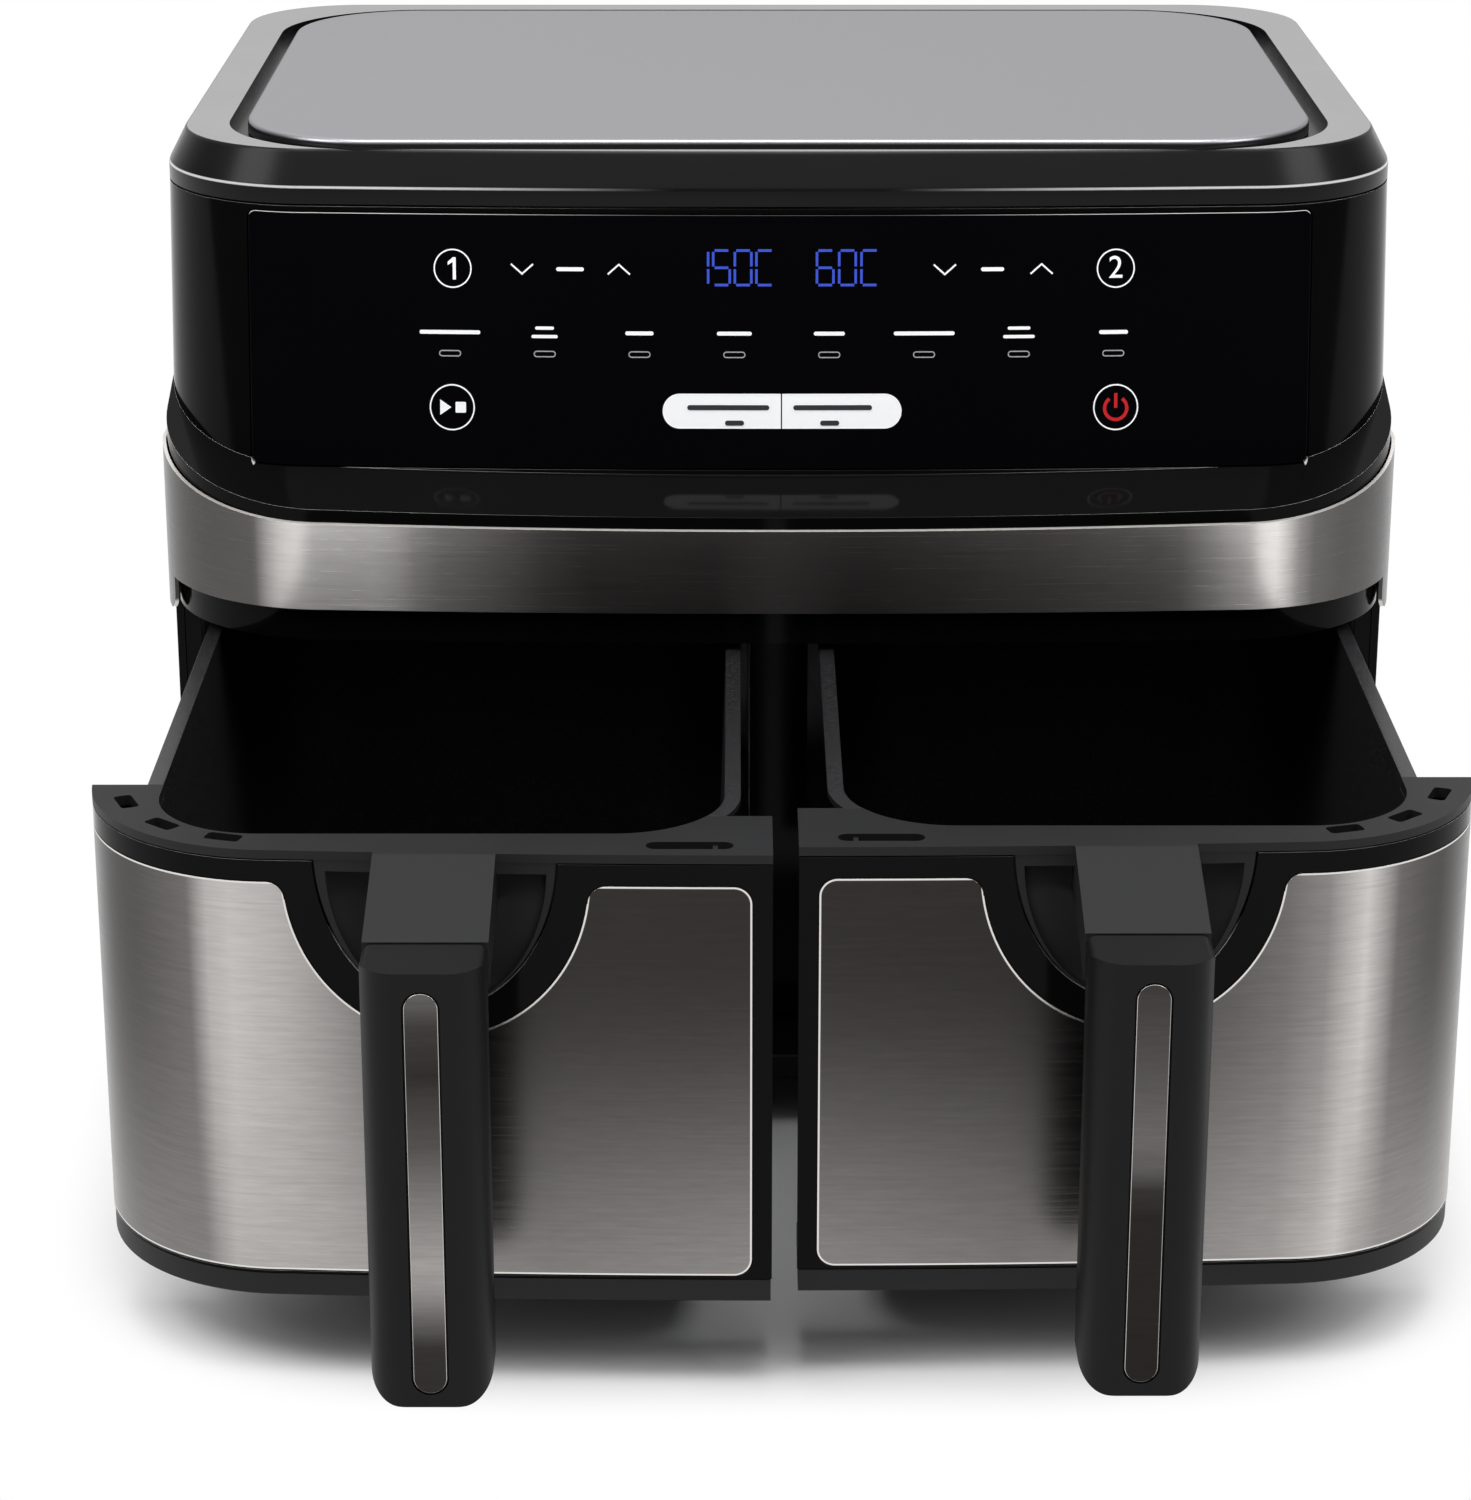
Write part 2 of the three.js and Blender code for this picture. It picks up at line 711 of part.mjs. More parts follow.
function heatingElement(sign) {
  const legTop = deckTop + 10;
  const y = chamberCentreY;
  const startAngle = Math.asin(elementLegGap / 2 / elementRadius);
  const x = sign * chamberCentreX;
  const loopY = y + elementRadius;
  const legHeights = [legTop, chamberTop - 4, elementZ + 12];
  const leg = (side) => legHeights.map(
    (z) => new THREE.Vector3(x + (side * elementLegGap) / 2, loopY, z));
  const points = leg(-1);
  const turns = 18;
  for (let i = 1; i < turns; i += 1) {
    const angle = startAngle + ((2 * Math.PI - 2 * startAngle) * i) / turns;
    points.push(new THREE.Vector3(
      x - elementRadius * Math.sin(angle), y + elementRadius * Math.cos(angle), elementZ));
  }
  points.push(...leg(1).reverse());
  const section = new THREE.Shape(circle(0, 0, elementTube, 6));
  const path = new THREE.CatmullRomCurve3(points, false, 'centripetal');
  return solid(new THREE.ExtrudeGeometry(section, { steps: 38, bevelEnabled: false, extrudePath: path }));
}

function motorDeck() {
  const edge = halfWidth - shellInset - shellWall - seamGap - 2;
  const holes = [];
  for (const sign of [-1, 1]) {
    const shaftHole = circle(sign * chamberCentreX, chamberCentreY, shaftRadius + 2);
    holes.push(column(shaftHole, deckBottom - 1, deckTop + 1));
    holes.push(...elementLegs(sign, elementTube + runningGap, deckBottom - 1, deckTop + 1));
  }
  return cut(
    column(roundedRect(-edge, edge, chamberFrontY + 4, chamberBackY + 2, 12), deckBottom, deckTop),
    ...holes,
  );
}

function motor(sign) {
  const x = sign * chamberCentreX;
  const y = chamberCentreY;
  const can = cut(
    column(circle(x, y, motorRadius), motorBottom, motorBottom + motorHeight),
    column(circle(x, y, shaftRadius + runningGap, 12), motorBottom - 1, motorBottom + motorHeight + 1),
  );
  const lugs = [-1, 1].map((end) => {
    const lugY = y + end * (motorRadius + 4);
    return block(x - 7, x + 7, lugY - 6, lugY + 6, motorBottom, motorBottom + 3);
  });
  return join(can, ...lugs);
}

function fanWheel(hubRadius, radius, bladeCount, z0, z1, discZ) {
  const blade = (angle) => {
    const geometry = new THREE.BoxGeometry(radius - hubRadius + 1.5, 1.4, z1 - z0 - 1);
    geometry.rotateX(0.45).translate((radius + hubRadius - 1.5) / 2, 0, (z0 + z1) / 2).rotateZ(angle);
    return solid(geometry);
  };
  const blades = Array.from({ length: bladeCount }, (_, i) => blade((2 * Math.PI * i) / bladeCount));
  const hub = column(circle(0, 0, hubRadius, 12), z0, z1);
  const disc = column(circle(0, 0, radius - 6, 16), discZ, discZ + 1.2);
  const bore = column(circle(0, 0, shaftRadius + 0.4, 12), z0 - 1, z1 + 1);
  return cut(join(hub, disc, ...blades), bore);
}

for (const [side, sign] of [['left', -1], ['right', 1]]) {
  place(`${side}_chamber_liner`, chamberLiner(sign), galvanised);
  place(`${side}_heater_guard`, heaterGuard(sign), satinSteel);
  place(`${side}_heating_element`, heatingElement(sign), elementSteel);
  place(`${side}_exhaust_duct`, exhaustDuct(sign), galvanised);
  place(`${side}_fan_motor`, motor(sign), galvanised);

  const spindle = new THREE.Group();
  spindle.position.set(sign * chamberCentreX, chamberCentreY, 0);
  airFryer.add(spindle);
  const motorTop = motorBottom + motorHeight;
  const shaft = column(circle(0, 0, shaftRadius, 12), elementZ + 4, motorTop + 14);
  place(`${side}_fan_shaft`, shaft, aluminium, spindle);
  const lowerFan = fanWheel(9, fanRadius, fanBladeCount, elementZ + 6, elementZ + 20, elementZ + 18);
  place(`${side}_convection_fan`, lowerFan, aluminium, spindle);
  const upperFan = fanWheel(8, coolingFanRadius, 6, motorTop + 2, motorTop + 12, motorTop + 4);
  place(`${side}_cooling_fan`, upperFan, bakelite, spindle);

  const wallBack = chamberBackY + chamberWall + seamGap;
  const cutoutX = sign * (chamberInnerX + cutoutInset);
  const cutout = throughDepth(circle(cutoutX, cutoutZ, cutoutRadius, 16), wallBack, wallBack + 6);
  const terminalOutline = rect(cutoutX - 6, cutoutX + 6, cutoutZ - 1.5, cutoutZ + 1.5);
  const terminals = throughDepth(terminalOutline, wallBack + 5, wallBack + 12);
  place(`${side}_thermal_cutout`, join(cutout, terminals), bakelite);
  const sensorX = sign * (chamberOuterX - sensorInset);
  const sensor = block(sensorX - 10, sensorX + 10, wallBack, wallBack + 8, sensorBottom, sensorBottom + 10);
  place(`${side}_drawer_sensor`, sensor, bakelite);
}

place('motor_deck', motorDeck(), galvanised);

// ---------------------------------------------------------------- electronics

function leaningBoard(halfLength, front, back, z0, z1) {
  const outline = [
    point(panelFrontAt(z0) + front, z0),
    point(panelFrontAt(z0) + back, z0),
    point(panelFrontAt(z1) + back, z1),
    point(panelFrontAt(z1) + front, z1),
  ];
  return acrossWidth(outline, -halfLength, halfLength);
}

const displayFront = lensThickness + seamGap + bowAt(displayHalfWidth) + 0.1;
const displayBack = displayFront + displayDepth;
const displayTop = lensTop - displayTopInset;
const display = leaningBoard(
  displayHalfWidth, displayFront, displayBack, displayTop - displayHeight, displayTop);
place('display_module', display, bakelite);

const boardFront = displayBack + 0.3;
const controlBoard = leaningBoard(
  lensHalfWidth - boardSideInset, boardFront, boardFront + boardThickness,
  lensBottom + boardBottomInset, displayTop);
place('control_board', controlBoard, circuitBoard);

function powerBoard() {
  const z = motorBottom + powerBoardStandoff;
  const back = backWallY - powerBoardBackRoom;
  const front = back - powerBoardDepth;
  const postX = powerBoardHalfWidth - 6;
  const posts = [-postX, postX].flatMap((x) => [front + 6, back - 6].map(
    (y) => column(circle(x, y, 3, 10), motorBottom, z + 0.5)));
  const board = block(-powerBoardHalfWidth, powerBoardHalfWidth, front, back, z, z + boardThickness);
  const transformer = block(-38, -6, front + 10, front + 42, z + 1, z + 26);
  const capacitor = column(circle(22, front + 28, 9, 16), z + 1, z + 24);
  return join(board, transformer, capacitor, ...posts);
}

place('power_board', powerBoard(), circuitBoard);

// ---------------------------------------------------------------- drawers

function mirrorPoints(outline, sign) {
  return outline.map((p) => point(sign * p.x, p.y));
}

// Plan of a drawer front for x > 0, `inset` behind its outer face.
function drawerPlan(inset, backY) {
  const cornerX = halfWidth - cornerRadius;
  const cornerY = bowAt(cornerX) + cornerRadius;
  const radius = cornerRadius - inset;
  const endAngle = -THREE.MathUtils.radToDeg(Math.asin((cornerY - drawerWrapDepth) / radius));
  return [
    ...bowPoints(drawerInnerX + inset, cornerX, inset, 5),
    ...arc(cornerX, cornerY, radius, radius, -90, endAngle, 8).slice(1),
    point(cornerX, drawerWrapDepth),
    point(cornerX, backY),
    point(drawerInnerX + inset, backY),
  ];
}

function drawerRegion(sign, inset, z0, z1) {
  return column(mirrorPoints(drawerPlan(inset, rimInnerEndDepth), sign), z0, z1);
}

function drawerSkin(sign, outerInset, innerInset, z0, z1) {
  const trimmed = (inset, from, to) => {
    const outline = drawerPlan(inset, rimInnerEndDepth);
    outline[0].x = drawerInnerX;
    outline[outline.length - 1].x = drawerInnerX;
    return column(mirrorPoints(outline, sign), from, to);
  };
  return cut(trimmed(outerInset, z0, z1), trimmed(innerInset, z0 - 1, z1 + 1));
}

// U shape in front view, hanging from above the drawer down to `depth` below the rim.
function uShape(sign, halfSpan, topZ, depth) {
  const x = sign * handleX;
  return [
    point(x - halfSpan, topZ + 20),
    ...arc(x, topZ, halfSpan, depth, 180, 360, 16),
    point(x + halfSpan, topZ + 20),
  ];
}

function basketOutline(sign, grow, scale = 1) {
  const [x0, x1] = span(sign, basketInnerX - grow, basketOuterX + grow);
  const centreX = sign * basketCentreX;
  return roundedRect(x0, x1, basketFrontY - grow, basketBackY + grow, basketCorner + grow, 6).map(
    (p) => point(centreX + (p.x - centreX) * scale, basketCentreY + (p.y - basketCentreY) * scale));
}

function basketScaleAt(z) {
  return 1 - ((1 - basketTaper) * (drawerTop - z)) / basketHeight;
}

function basketCore(sign, grow, z0, z1) {
  return loft(
    basketOutline(sign, grow, basketScaleAt(z0)), z0, basketOutline(sign, grow, basketScaleAt(z1)), z1);
}

function basket(sign) {
  const wall = basketCore(sign, basketWall, basketBottom, drawerTop);
  const flange = column(basketOutline(sign, flangeWidth), drawerTop - flangeThickness, drawerTop);
  const inside = basketCore(sign, 0, basketBottom + basketFloor, drawerTop + 5);
  const underRim = drawerRegion(sign, -seamGap, drawerTop - rimThickness - seamGap, drawerTop + 1);
  return cut(join(wall, flange), inside, underRim);
}

function rimSlots(sign) {
  const cornerX = halfWidth - cornerRadius;
  const cornerY = bowAt(cornerX) + cornerRadius;
  const z0 = drawerTop - rimThickness - 1;
  const z1 = drawerTop + 1;
  const radius = cornerRadius - 8;
  const turned = [-22, -48, -73].map((angle) => {
    const turn = THREE.MathUtils.degToRad(angle);
    const outline = rect(radius - 2.5, radius + 2.5, -5, 5).map((p) => point(
      cornerX + p.x * Math.cos(turn) - p.y * Math.sin(turn),
      cornerY + p.x * Math.sin(turn) + p.y * Math.cos(turn)));
    return column(mirrorPoints(outline, sign), z0, z1);
  });
  const flat = [[20.5, 37.5], [14, 18]].map(([a, b]) => {
    const [x0, x1] = span(sign, a, b);
    return column(roundedRect(x0, x1, 5, 9.4, 1.9, 3), z0, z1);
  });
  return [...turned, ...flat];
}

function carrier(sign) {
  const seat = frameThickness + seamGap;
  const body = drawerRegion(sign, seat, drawerBottom, drawerTop);
  const rim = drawerRegion(sign, 0, drawerTop - rimFaceHeight, drawerTop);
  const trim = drawerRegion(sign, 0.3, drawerBottom, frameBottom - seamGap);
  const recess = throughDepth(
    uShape(sign, recessHalfWidth - 0.6, drawerTop, recessDepth - 0.6), -5, far);
  const boss = drawerRegion(sign, 0.3, drawerBottom, drawerTop).intersect(recess);
  const under = drawerTop - rimThickness;
  const hollowOutline = (inset) => drawerRegion(sign, inset, drawerBottom + carrierWall, under);
  const backing = throughDepth(uShape(sign, recessHalfWidth + 3, drawerTop, recessDepth + 3), -5, far)
    .intersect(block(-far, far, -5, bowAt(handleX) + scoopDepth + 4, 0, far));
  const endWall = block(-far, far, drawerWrapDepth - carrierWall, far, 0, far);
  const hollow = cut(hollowOutline(seat + carrierWall), backing, endWall);
  const scoop = new THREE.SphereGeometry(1, 16, 10)
    .scale(recessHalfWidth - 3, scoopDepth, recessDepth - 5)
    .translate(sign * handleX, bowAt(handleX), under - 1.5);
  const scoopLimit = block(-far, far, -far, far, 0, under - 1);
  const neckSide = [
    point(bowAt(handleX) + 6, drawerTop),
    point(0, drawerTop),
    point(-neckLength, drawerTop - neckDrop),
    point(-neckLength, drawerTop - neckDrop - neckThickness),
    point(0, drawerTop - neckThickness - 3),
    point(bowAt(handleX) + 12, drawerTop - neckThickness - 3),
    point(bowAt(handleX) + 12, drawerTop - 2),
  ];
  const neck = acrossWidth(neckSide, sign * handleX - neckHalfWidth, sign * handleX + neckHalfWidth);
  const openTop = column(basketOutline(sign, 0), under - 0.01, drawerTop + 5);
  const wallRoom = basketCore(sign, basketWall + seamGap, drawerBottom - 3, under);
  const shell = cut(join(body, rim, trim, boss), hollow, solid(scoop).intersect(scoopLimit));
  return cut(join(shell, neck), openTop, wallRoom, ...rimSlots(sign));
}

function steelOutline(sign, margin) {
  const inner = steelInnerX - margin;
  const low = frameBottom + 1 - margin;
  const high = steelTop + margin;
  const corner = steelCorner + margin;
  const outline = [
    point(far, low),
    point(far, high),
    point(inner + corner, high),
    ...arc(inner + corner, high - corner, corner, corner, 90, 180, 4).slice(1),
    ...arc(inner + corner, low + corner, corner, corner, 180, 270, 4),
  ];
  return mirrorPoints(outline, sign);
}

function steelPrism(sign, margin) {
  const face = throughDepth(steelOutline(sign, margin), -far, drawerWrapDepth - 1 + margin);
  const notch = throughDepth(
    uShape(sign, notchHalfWidth - margin, steelTop + 2, notchDepth - margin), -far, far);
  return cut(face, notch);
}

function frontFrame(sign) {
  const skin = drawerSkin(sign, 0, frameThickness, frameBottom, drawerTop - rimFaceHeight - seamGap);
  const pocket = drawerSkin(sign, -1, steelPocket, frameBottom - 1, drawerTop)
    .intersect(steelPrism(sign, steelGap));
  const recess = throughDepth(uShape(sign, recessHalfWidth, drawerTop, recessDepth), -far, far);
  return cut(skin, pocket, recess);
}

function frontSteel(sign) {
  return drawerSkin(sign, 0, steelThickness, frameBottom - 1, drawerTop).intersect(steelPrism(sign, 0));
}

function inlayOutline(sign, margin) {
  return roundedRect(
    sign * handleX - inlayHalfWidth - margin, sign * handleX + inlayHalfWidth + margin,
    inlayBottom - margin, inlayTop + margin, inlayHalfWidth + margin - 0.01, 6);
}

function handleGrip(sign) {
  const x = sign * handleX;
  const plan = [
    ...arc(x + gripHalfWidth - 10, -gripReach + 10, 10, 10, -90, 0, 6),
    ...arc(x + gripHalfWidth - 3, gripBackY - 3, 3, 3, 0, 90, 2),
    ...arc(x - gripHalfWidth + 3, gripBackY - 3, 3, 3, 90, 180, 2),
    ...arc(x - gripHalfWidth + 10, -gripReach + 10, 10, 10, 180, 270, 6),
  ];
  const face = [
    ...arc(x + gripHalfWidth - 8, gripBottom + 8, 8, 8, -90, 0, 5),
    ...arc(x + gripHalfWidth - 2, gripTop - 2, 2, 2, 0, 90, 2),
    ...arc(x - gripHalfWidth + 2, gripTop - 2, 2, 2, 90, 180, 2),
    ...arc(x - gripHalfWidth + 8, gripBottom + 8, 8, 8, 180, 270, 5),
  ];
  const bar = column(plan, gripBottom, gripTop).intersect(throughDepth(face, -far, far));
  const slotBack = -gripReach + inlayThickness + seamGap;
  return cut(bar, throughDepth(inlayOutline(sign, seamGap), -gripReach - 1, slotBack));
}

function handleInlay(sign) {
  return throughDepth(inlayOutline(sign, 0), -gripReach, -gripReach + inlayThickness);
}

// ---------------------------------------------------------------- crisper plates

const crisperZ = basketBottom + basketFloor + crisperHeight;

function crisperPlate(sign) {
  const inset = -crisperClearance;
  const scale = basketScaleAt(crisperZ - crisperSkirt);
  const outer = basketOutline(sign, inset, scale);
  const inner = basketOutline(sign, inset - 1.5, scale);
  const top = crisperZ + crisperThickness;
  let plate = cut(column(outer, crisperZ - crisperSkirt, top), column(inner, crisperZ - far, crisperZ));
  const centreX = sign * basketCentreX;
  for (let row = 0; row < slotRows; row += 1) {
    for (let rank = 0; rank < slotRanks; rank += 1) {
      const x = centreX + (rank - (slotRanks - 1) / 2) * slotPitchX;
      const y = basketCentreY + (row - (slotRows - 1) / 2) * slotPitchY;
      const ends = circle(0, 0, slotWidth / 2, 6).map(
        (p) => point(x + p.x + Math.sign(p.x) * (slotLength - slotWidth) / 2, y + p.y));
      plate = cut(plate, column(ends, crisperZ - 1, top + 1));
    }
  }
  const legX = (basketOuterX - basketInnerX) / 2 - crisperLegInsetX;
  const legY = (basketBackY - basketFrontY) / 2 - crisperLegInsetY;
  const legFoot = basketBottom + basketFloor + seamGap;
  const legs = [-legX, legX].flatMap((x) => [-legY, legY].map((y) => column(
    circle(centreX + x, basketCentreY + y, crisperLegRadius, 10), legFoot, crisperZ + 0.5)));
  const eye = column(circle(centreX, basketCentreY, eyeRadius, 16), crisperZ, top + eyeHeight);
  const hole = column(circle(centreX, basketCentreY, eyeBoreRadius, 12), crisperZ - 2, top + 4);
  return cut(join(plate, eye, ...legs), hole);
}

function crisperBumper(sign, edgeX, edgeY) {
  const scale = basketScaleAt(crisperZ - crisperSkirt);
  const reachX = ((basketOuterX - basketInnerX) / 2 - crisperClearance) * scale;
  const reachY = ((basketBackY - basketFrontY) / 2 - crisperClearance) * scale;
  const thickness = crisperClearance * scale - seamGap - bumperGap;
  const bottom = crisperZ - crisperSkirt + 0.5;
  const halfX = edgeX ? thickness / 2 : bumperLength / 2;
  const halfY = edgeY ? thickness / 2 : bumperLength / 2;
  const x = sign * basketCentreX + edgeX * (reachX + bumperGap + thickness / 2);
  const y = basketCentreY + edgeY * (reachY + bumperGap + thickness / 2);
  return block(x - halfX, x + halfX, y - halfY, y + halfY, bottom, bottom + bumperHeight);
}

for (const [side, sign] of [['left', -1], ['right', 1]]) {
  const drawer = new THREE.Group();
  drawer.position.y = -drawerOpening[side];
  airFryer.add(drawer);
  place(`${side}_basket`, basket(sign), nonStick, drawer);
  place(`${side}_drawer_carrier`, carrier(sign), mattePlastic, drawer);
  place(`${side}_front_frame`, frontFrame(sign), glossPlastic, drawer);
  place(`${side}_front_steel`, frontSteel(sign), brushedSteel, drawer);
  place(`${side}_handle_grip`, handleGrip(sign), mattePlastic, drawer);
  place(`${side}_handle_inlay`, handleInlay(sign), brushedSteel, drawer);
  place(`${side}_crisper_plate`, crisperPlate(sign), nonStick, drawer);
  const bumpers = { front: [0, -1], rear: [0, 1], inner: [-sign, 0], outer: [sign, 0] };
  for (const [edge, [edgeX, edgeY]] of Object.entries(bumpers)) {
    place(`${side}_bumper_${edge}`, crisperBumper(sign, edgeX, edgeY), silicone, drawer);
  }
}

// ---------------------------------------------------------------- whole object on its origin

const frontmostY = -Math.max(drawerOpening.left, drawerOpening.right) - gripReach;
const rearmostY = backWallY + seamGap + rearCoverThickness;
airFryer.position.y = -(frontmostY + rearmostY) / 2;

export default airFryer;
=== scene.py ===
import json
import math

import bmesh
import bpy
from mathutils import Matrix, Vector


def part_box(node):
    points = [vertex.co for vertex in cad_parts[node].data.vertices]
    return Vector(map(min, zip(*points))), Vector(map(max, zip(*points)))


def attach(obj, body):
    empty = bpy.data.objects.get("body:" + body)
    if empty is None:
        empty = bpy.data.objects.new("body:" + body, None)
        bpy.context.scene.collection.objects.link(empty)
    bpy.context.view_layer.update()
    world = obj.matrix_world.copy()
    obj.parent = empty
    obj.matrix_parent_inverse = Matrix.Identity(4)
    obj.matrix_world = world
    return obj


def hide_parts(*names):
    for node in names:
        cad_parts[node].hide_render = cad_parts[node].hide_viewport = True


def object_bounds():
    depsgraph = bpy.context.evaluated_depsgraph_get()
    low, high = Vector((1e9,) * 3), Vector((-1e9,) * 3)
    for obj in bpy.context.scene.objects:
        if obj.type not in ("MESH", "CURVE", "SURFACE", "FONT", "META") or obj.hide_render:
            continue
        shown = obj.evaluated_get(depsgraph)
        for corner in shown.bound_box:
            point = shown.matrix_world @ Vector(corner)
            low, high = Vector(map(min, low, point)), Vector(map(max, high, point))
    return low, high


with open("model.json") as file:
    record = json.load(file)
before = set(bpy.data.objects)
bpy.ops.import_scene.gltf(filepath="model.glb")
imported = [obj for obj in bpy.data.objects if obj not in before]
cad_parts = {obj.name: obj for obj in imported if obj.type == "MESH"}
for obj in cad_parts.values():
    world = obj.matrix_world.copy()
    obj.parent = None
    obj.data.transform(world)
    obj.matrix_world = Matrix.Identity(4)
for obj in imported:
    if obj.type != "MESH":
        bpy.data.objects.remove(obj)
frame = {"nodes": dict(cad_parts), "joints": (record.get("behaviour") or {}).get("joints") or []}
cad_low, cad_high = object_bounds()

# ---------------------------------------------------------------- Base pan and feet
# A moulded tray of black plastic closes the body from below, and four rubber feet are pressed
# into it. The plan of the whole body, with its bowed front and four round corners, starts here.

MM = 0.001
band_low, band_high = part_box("steel_band")
FRONT_Y = band_low.y
HALF_WIDTH = band_high.x / MM
BODY_DEPTH = (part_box("rear_cover")[0].y - FRONT_Y) / MM + 1.1
FRONT_BOW = 4
CORNER = 55
UPPER_CORNER = 50
BACK_CORNER = 44
SHELL_INSET = 1.5
GAP = 0.4
SIDES = (("left", -1), ("right", 1))
FAR = 500


def arc(x, y, radius_x, radius_y, start, end, steps):
    turns = [math.radians(start + (end - start) * i / steps) for i in range(steps + 1)]
    return [(x + radius_x * math.cos(t), y + radius_y * math.sin(t)) for t in turns]


def circle(x, y, radius, steps=48):
    return arc(x, y, radius, radius, 0, 360, steps)[1:]


def rounded(x0, x1, y0, y1, radius, steps=12):
    return (arc(x1 - radius, y0 + radius, radius, radius, -90, 0, steps)
            + arc(x1 - radius, y1 - radius, radius, radius, 0, 90, steps)
            + arc(x0 + radius, y1 - radius, radius, radius, 90, 180, steps)
            + arc(x0 + radius, y0 + radius, radius, radius, 180, 270, steps))


def rect(x0, x1, y0, y1):
    return [(x0, y0), (x1, y0), (x1, y1), (x0, y1)]


def bow(x):
    return FRONT_BOW * (x / (HALF_WIDTH - CORNER)) ** 2


def bow_points(start, end, front, steps):
    xs = [start + (end - start) * i / steps for i in range(steps + 1)]
    return [(x, front + bow(x)) for x in xs]


def body_plan(inset, front=0, radius=CORNER):
    corner_x = HALF_WIDTH - radius
    corner_y = front + bow(corner_x) + radius
    back_x = HALF_WIDTH - BACK_CORNER
    back_y = BODY_DEPTH - BACK_CORNER
    front_r = radius - inset
    back_r = BACK_CORNER - inset
    return (bow_points(-corner_x, corner_x, front + inset, 40)[1:-1]
            + arc(corner_x, corner_y, front_r, front_r, -90, 0, 28)
            + arc(back_x, back_y, back_r, back_r, 0, 90, 20)
            + arc(-back_x, back_y, back_r, back_r, 90, 180, 20)
            + arc(-corner_x, corner_y, front_r, front_r, 180, 270, 28))


def rings(levels):
    """A solid through rings of points, each the same number of (x, y, z), capped at both ends."""
    made = bmesh.new()
    rows = [[made.verts.new(p) for p in level] for level in levels]
    count = len(rows[0])
    for low, high in zip(rows, rows[1:]):
        for i in range(count):
            j = (i + 1) % count
            made.faces.new((low[i], low[j], high[j], high[i]))
    made.faces.new(rows[0][::-1])
    made.faces.new(rows[-1])
    bmesh.ops.recalc_face_normals(made, faces=made.faces)
    mesh = bpy.data.meshes.new("solid")
    made.to_mesh(mesh)
    made.free()
    solid = bpy.data.objects.new("solid", mesh)
    bpy.context.scene.collection.objects.link(solid)
    return solid


def at_height(outline, z):
    return [(x, y, z) for x, y in outline]


def loft(lower, z0, upper, z1):
    return rings([at_height(lower, z0), at_height(upper, z1)])


def column(outline, z0, z1):
    return loft(outline, z0, outline, z1)


def through_depth(outline, y0, y1):
    return rings([[(x, y, z) for x, z in outline] for y in (y0, y1)])


def across_width(outline, x0, x1):
    return rings([[(x, y, z) for y, z in outline] for x in (x0, x1)])


def block(x0, x1, y0, y1, z0, z1):
    return column(rect(min(x0, x1), max(x0, x1), y0, y1), z0, z1)


def combine(operation, body, tools):
    for tool in tools:
        step = body.modifiers.new(operation, "BOOLEAN")
        step.operation = operation
        step.solver = "MANIFOLD"
        step.object = tool
    bpy.context.view_layer.update()
    shaped = body.evaluated_get(bpy.context.evaluated_depsgraph_get())
    mesh = bpy.data.meshes.new_from_object(shaped)
    body.modifiers.clear()
    body.data = mesh
    for tool in tools:
        bpy.data.objects.remove(tool)
    if not mesh.polygons:
        raise RuntimeError(f"{operation} left nothing")
    return body


def join(body, *tools):
    return combine("UNION", body, tools)


def cut(body, *tools):
    return combine("DIFFERENCE", body, tools)


def common(body, *tools):
    return combine("INTERSECT", body, tools)


def dress(piece, material):
    piece.data.materials.clear()
    piece.data.materials.append(material)


def fit(name, solid, body, material, replaces=(), slid=0, edge=0.4, segments=2):
    """Turns a solid in millimetres into a finished piece with softened edges on its CAD body."""
    solid.data.transform(Matrix.Translation((0, FRONT_Y - slid * MM, 0)) @ Matrix.Scale(MM, 4))
    solid.name = name
    solid.data.name = name
    clean = bmesh.new()
    clean.from_mesh(solid.data)
    bmesh.ops.remove_doubles(clean, verts=clean.verts, dist=2e-5)
    bmesh.ops.dissolve_degenerate(clean, edges=clean.edges, dist=2e-5)
    for face in clean.faces:
        face.smooth = True
    clean.to_mesh(solid.data)
    clean.free()
    if edge:
        bevel = solid.modifiers.new("softened edges", "BEVEL")
        bevel.width = edge * MM
        bevel.segments = segments
        bevel.limit_method = "ANGLE"
        bevel.angle_limit = math.radians(32)
        bevel.use_clamp_overlap = True
    normals = solid.modifiers.new("flat faces stay flat", "WEIGHTED_NORMAL")
    normals.keep_sharp = True
    dress(solid, material)
    if replaces:
        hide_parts(*replaces)
    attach(solid, body)
    return solid


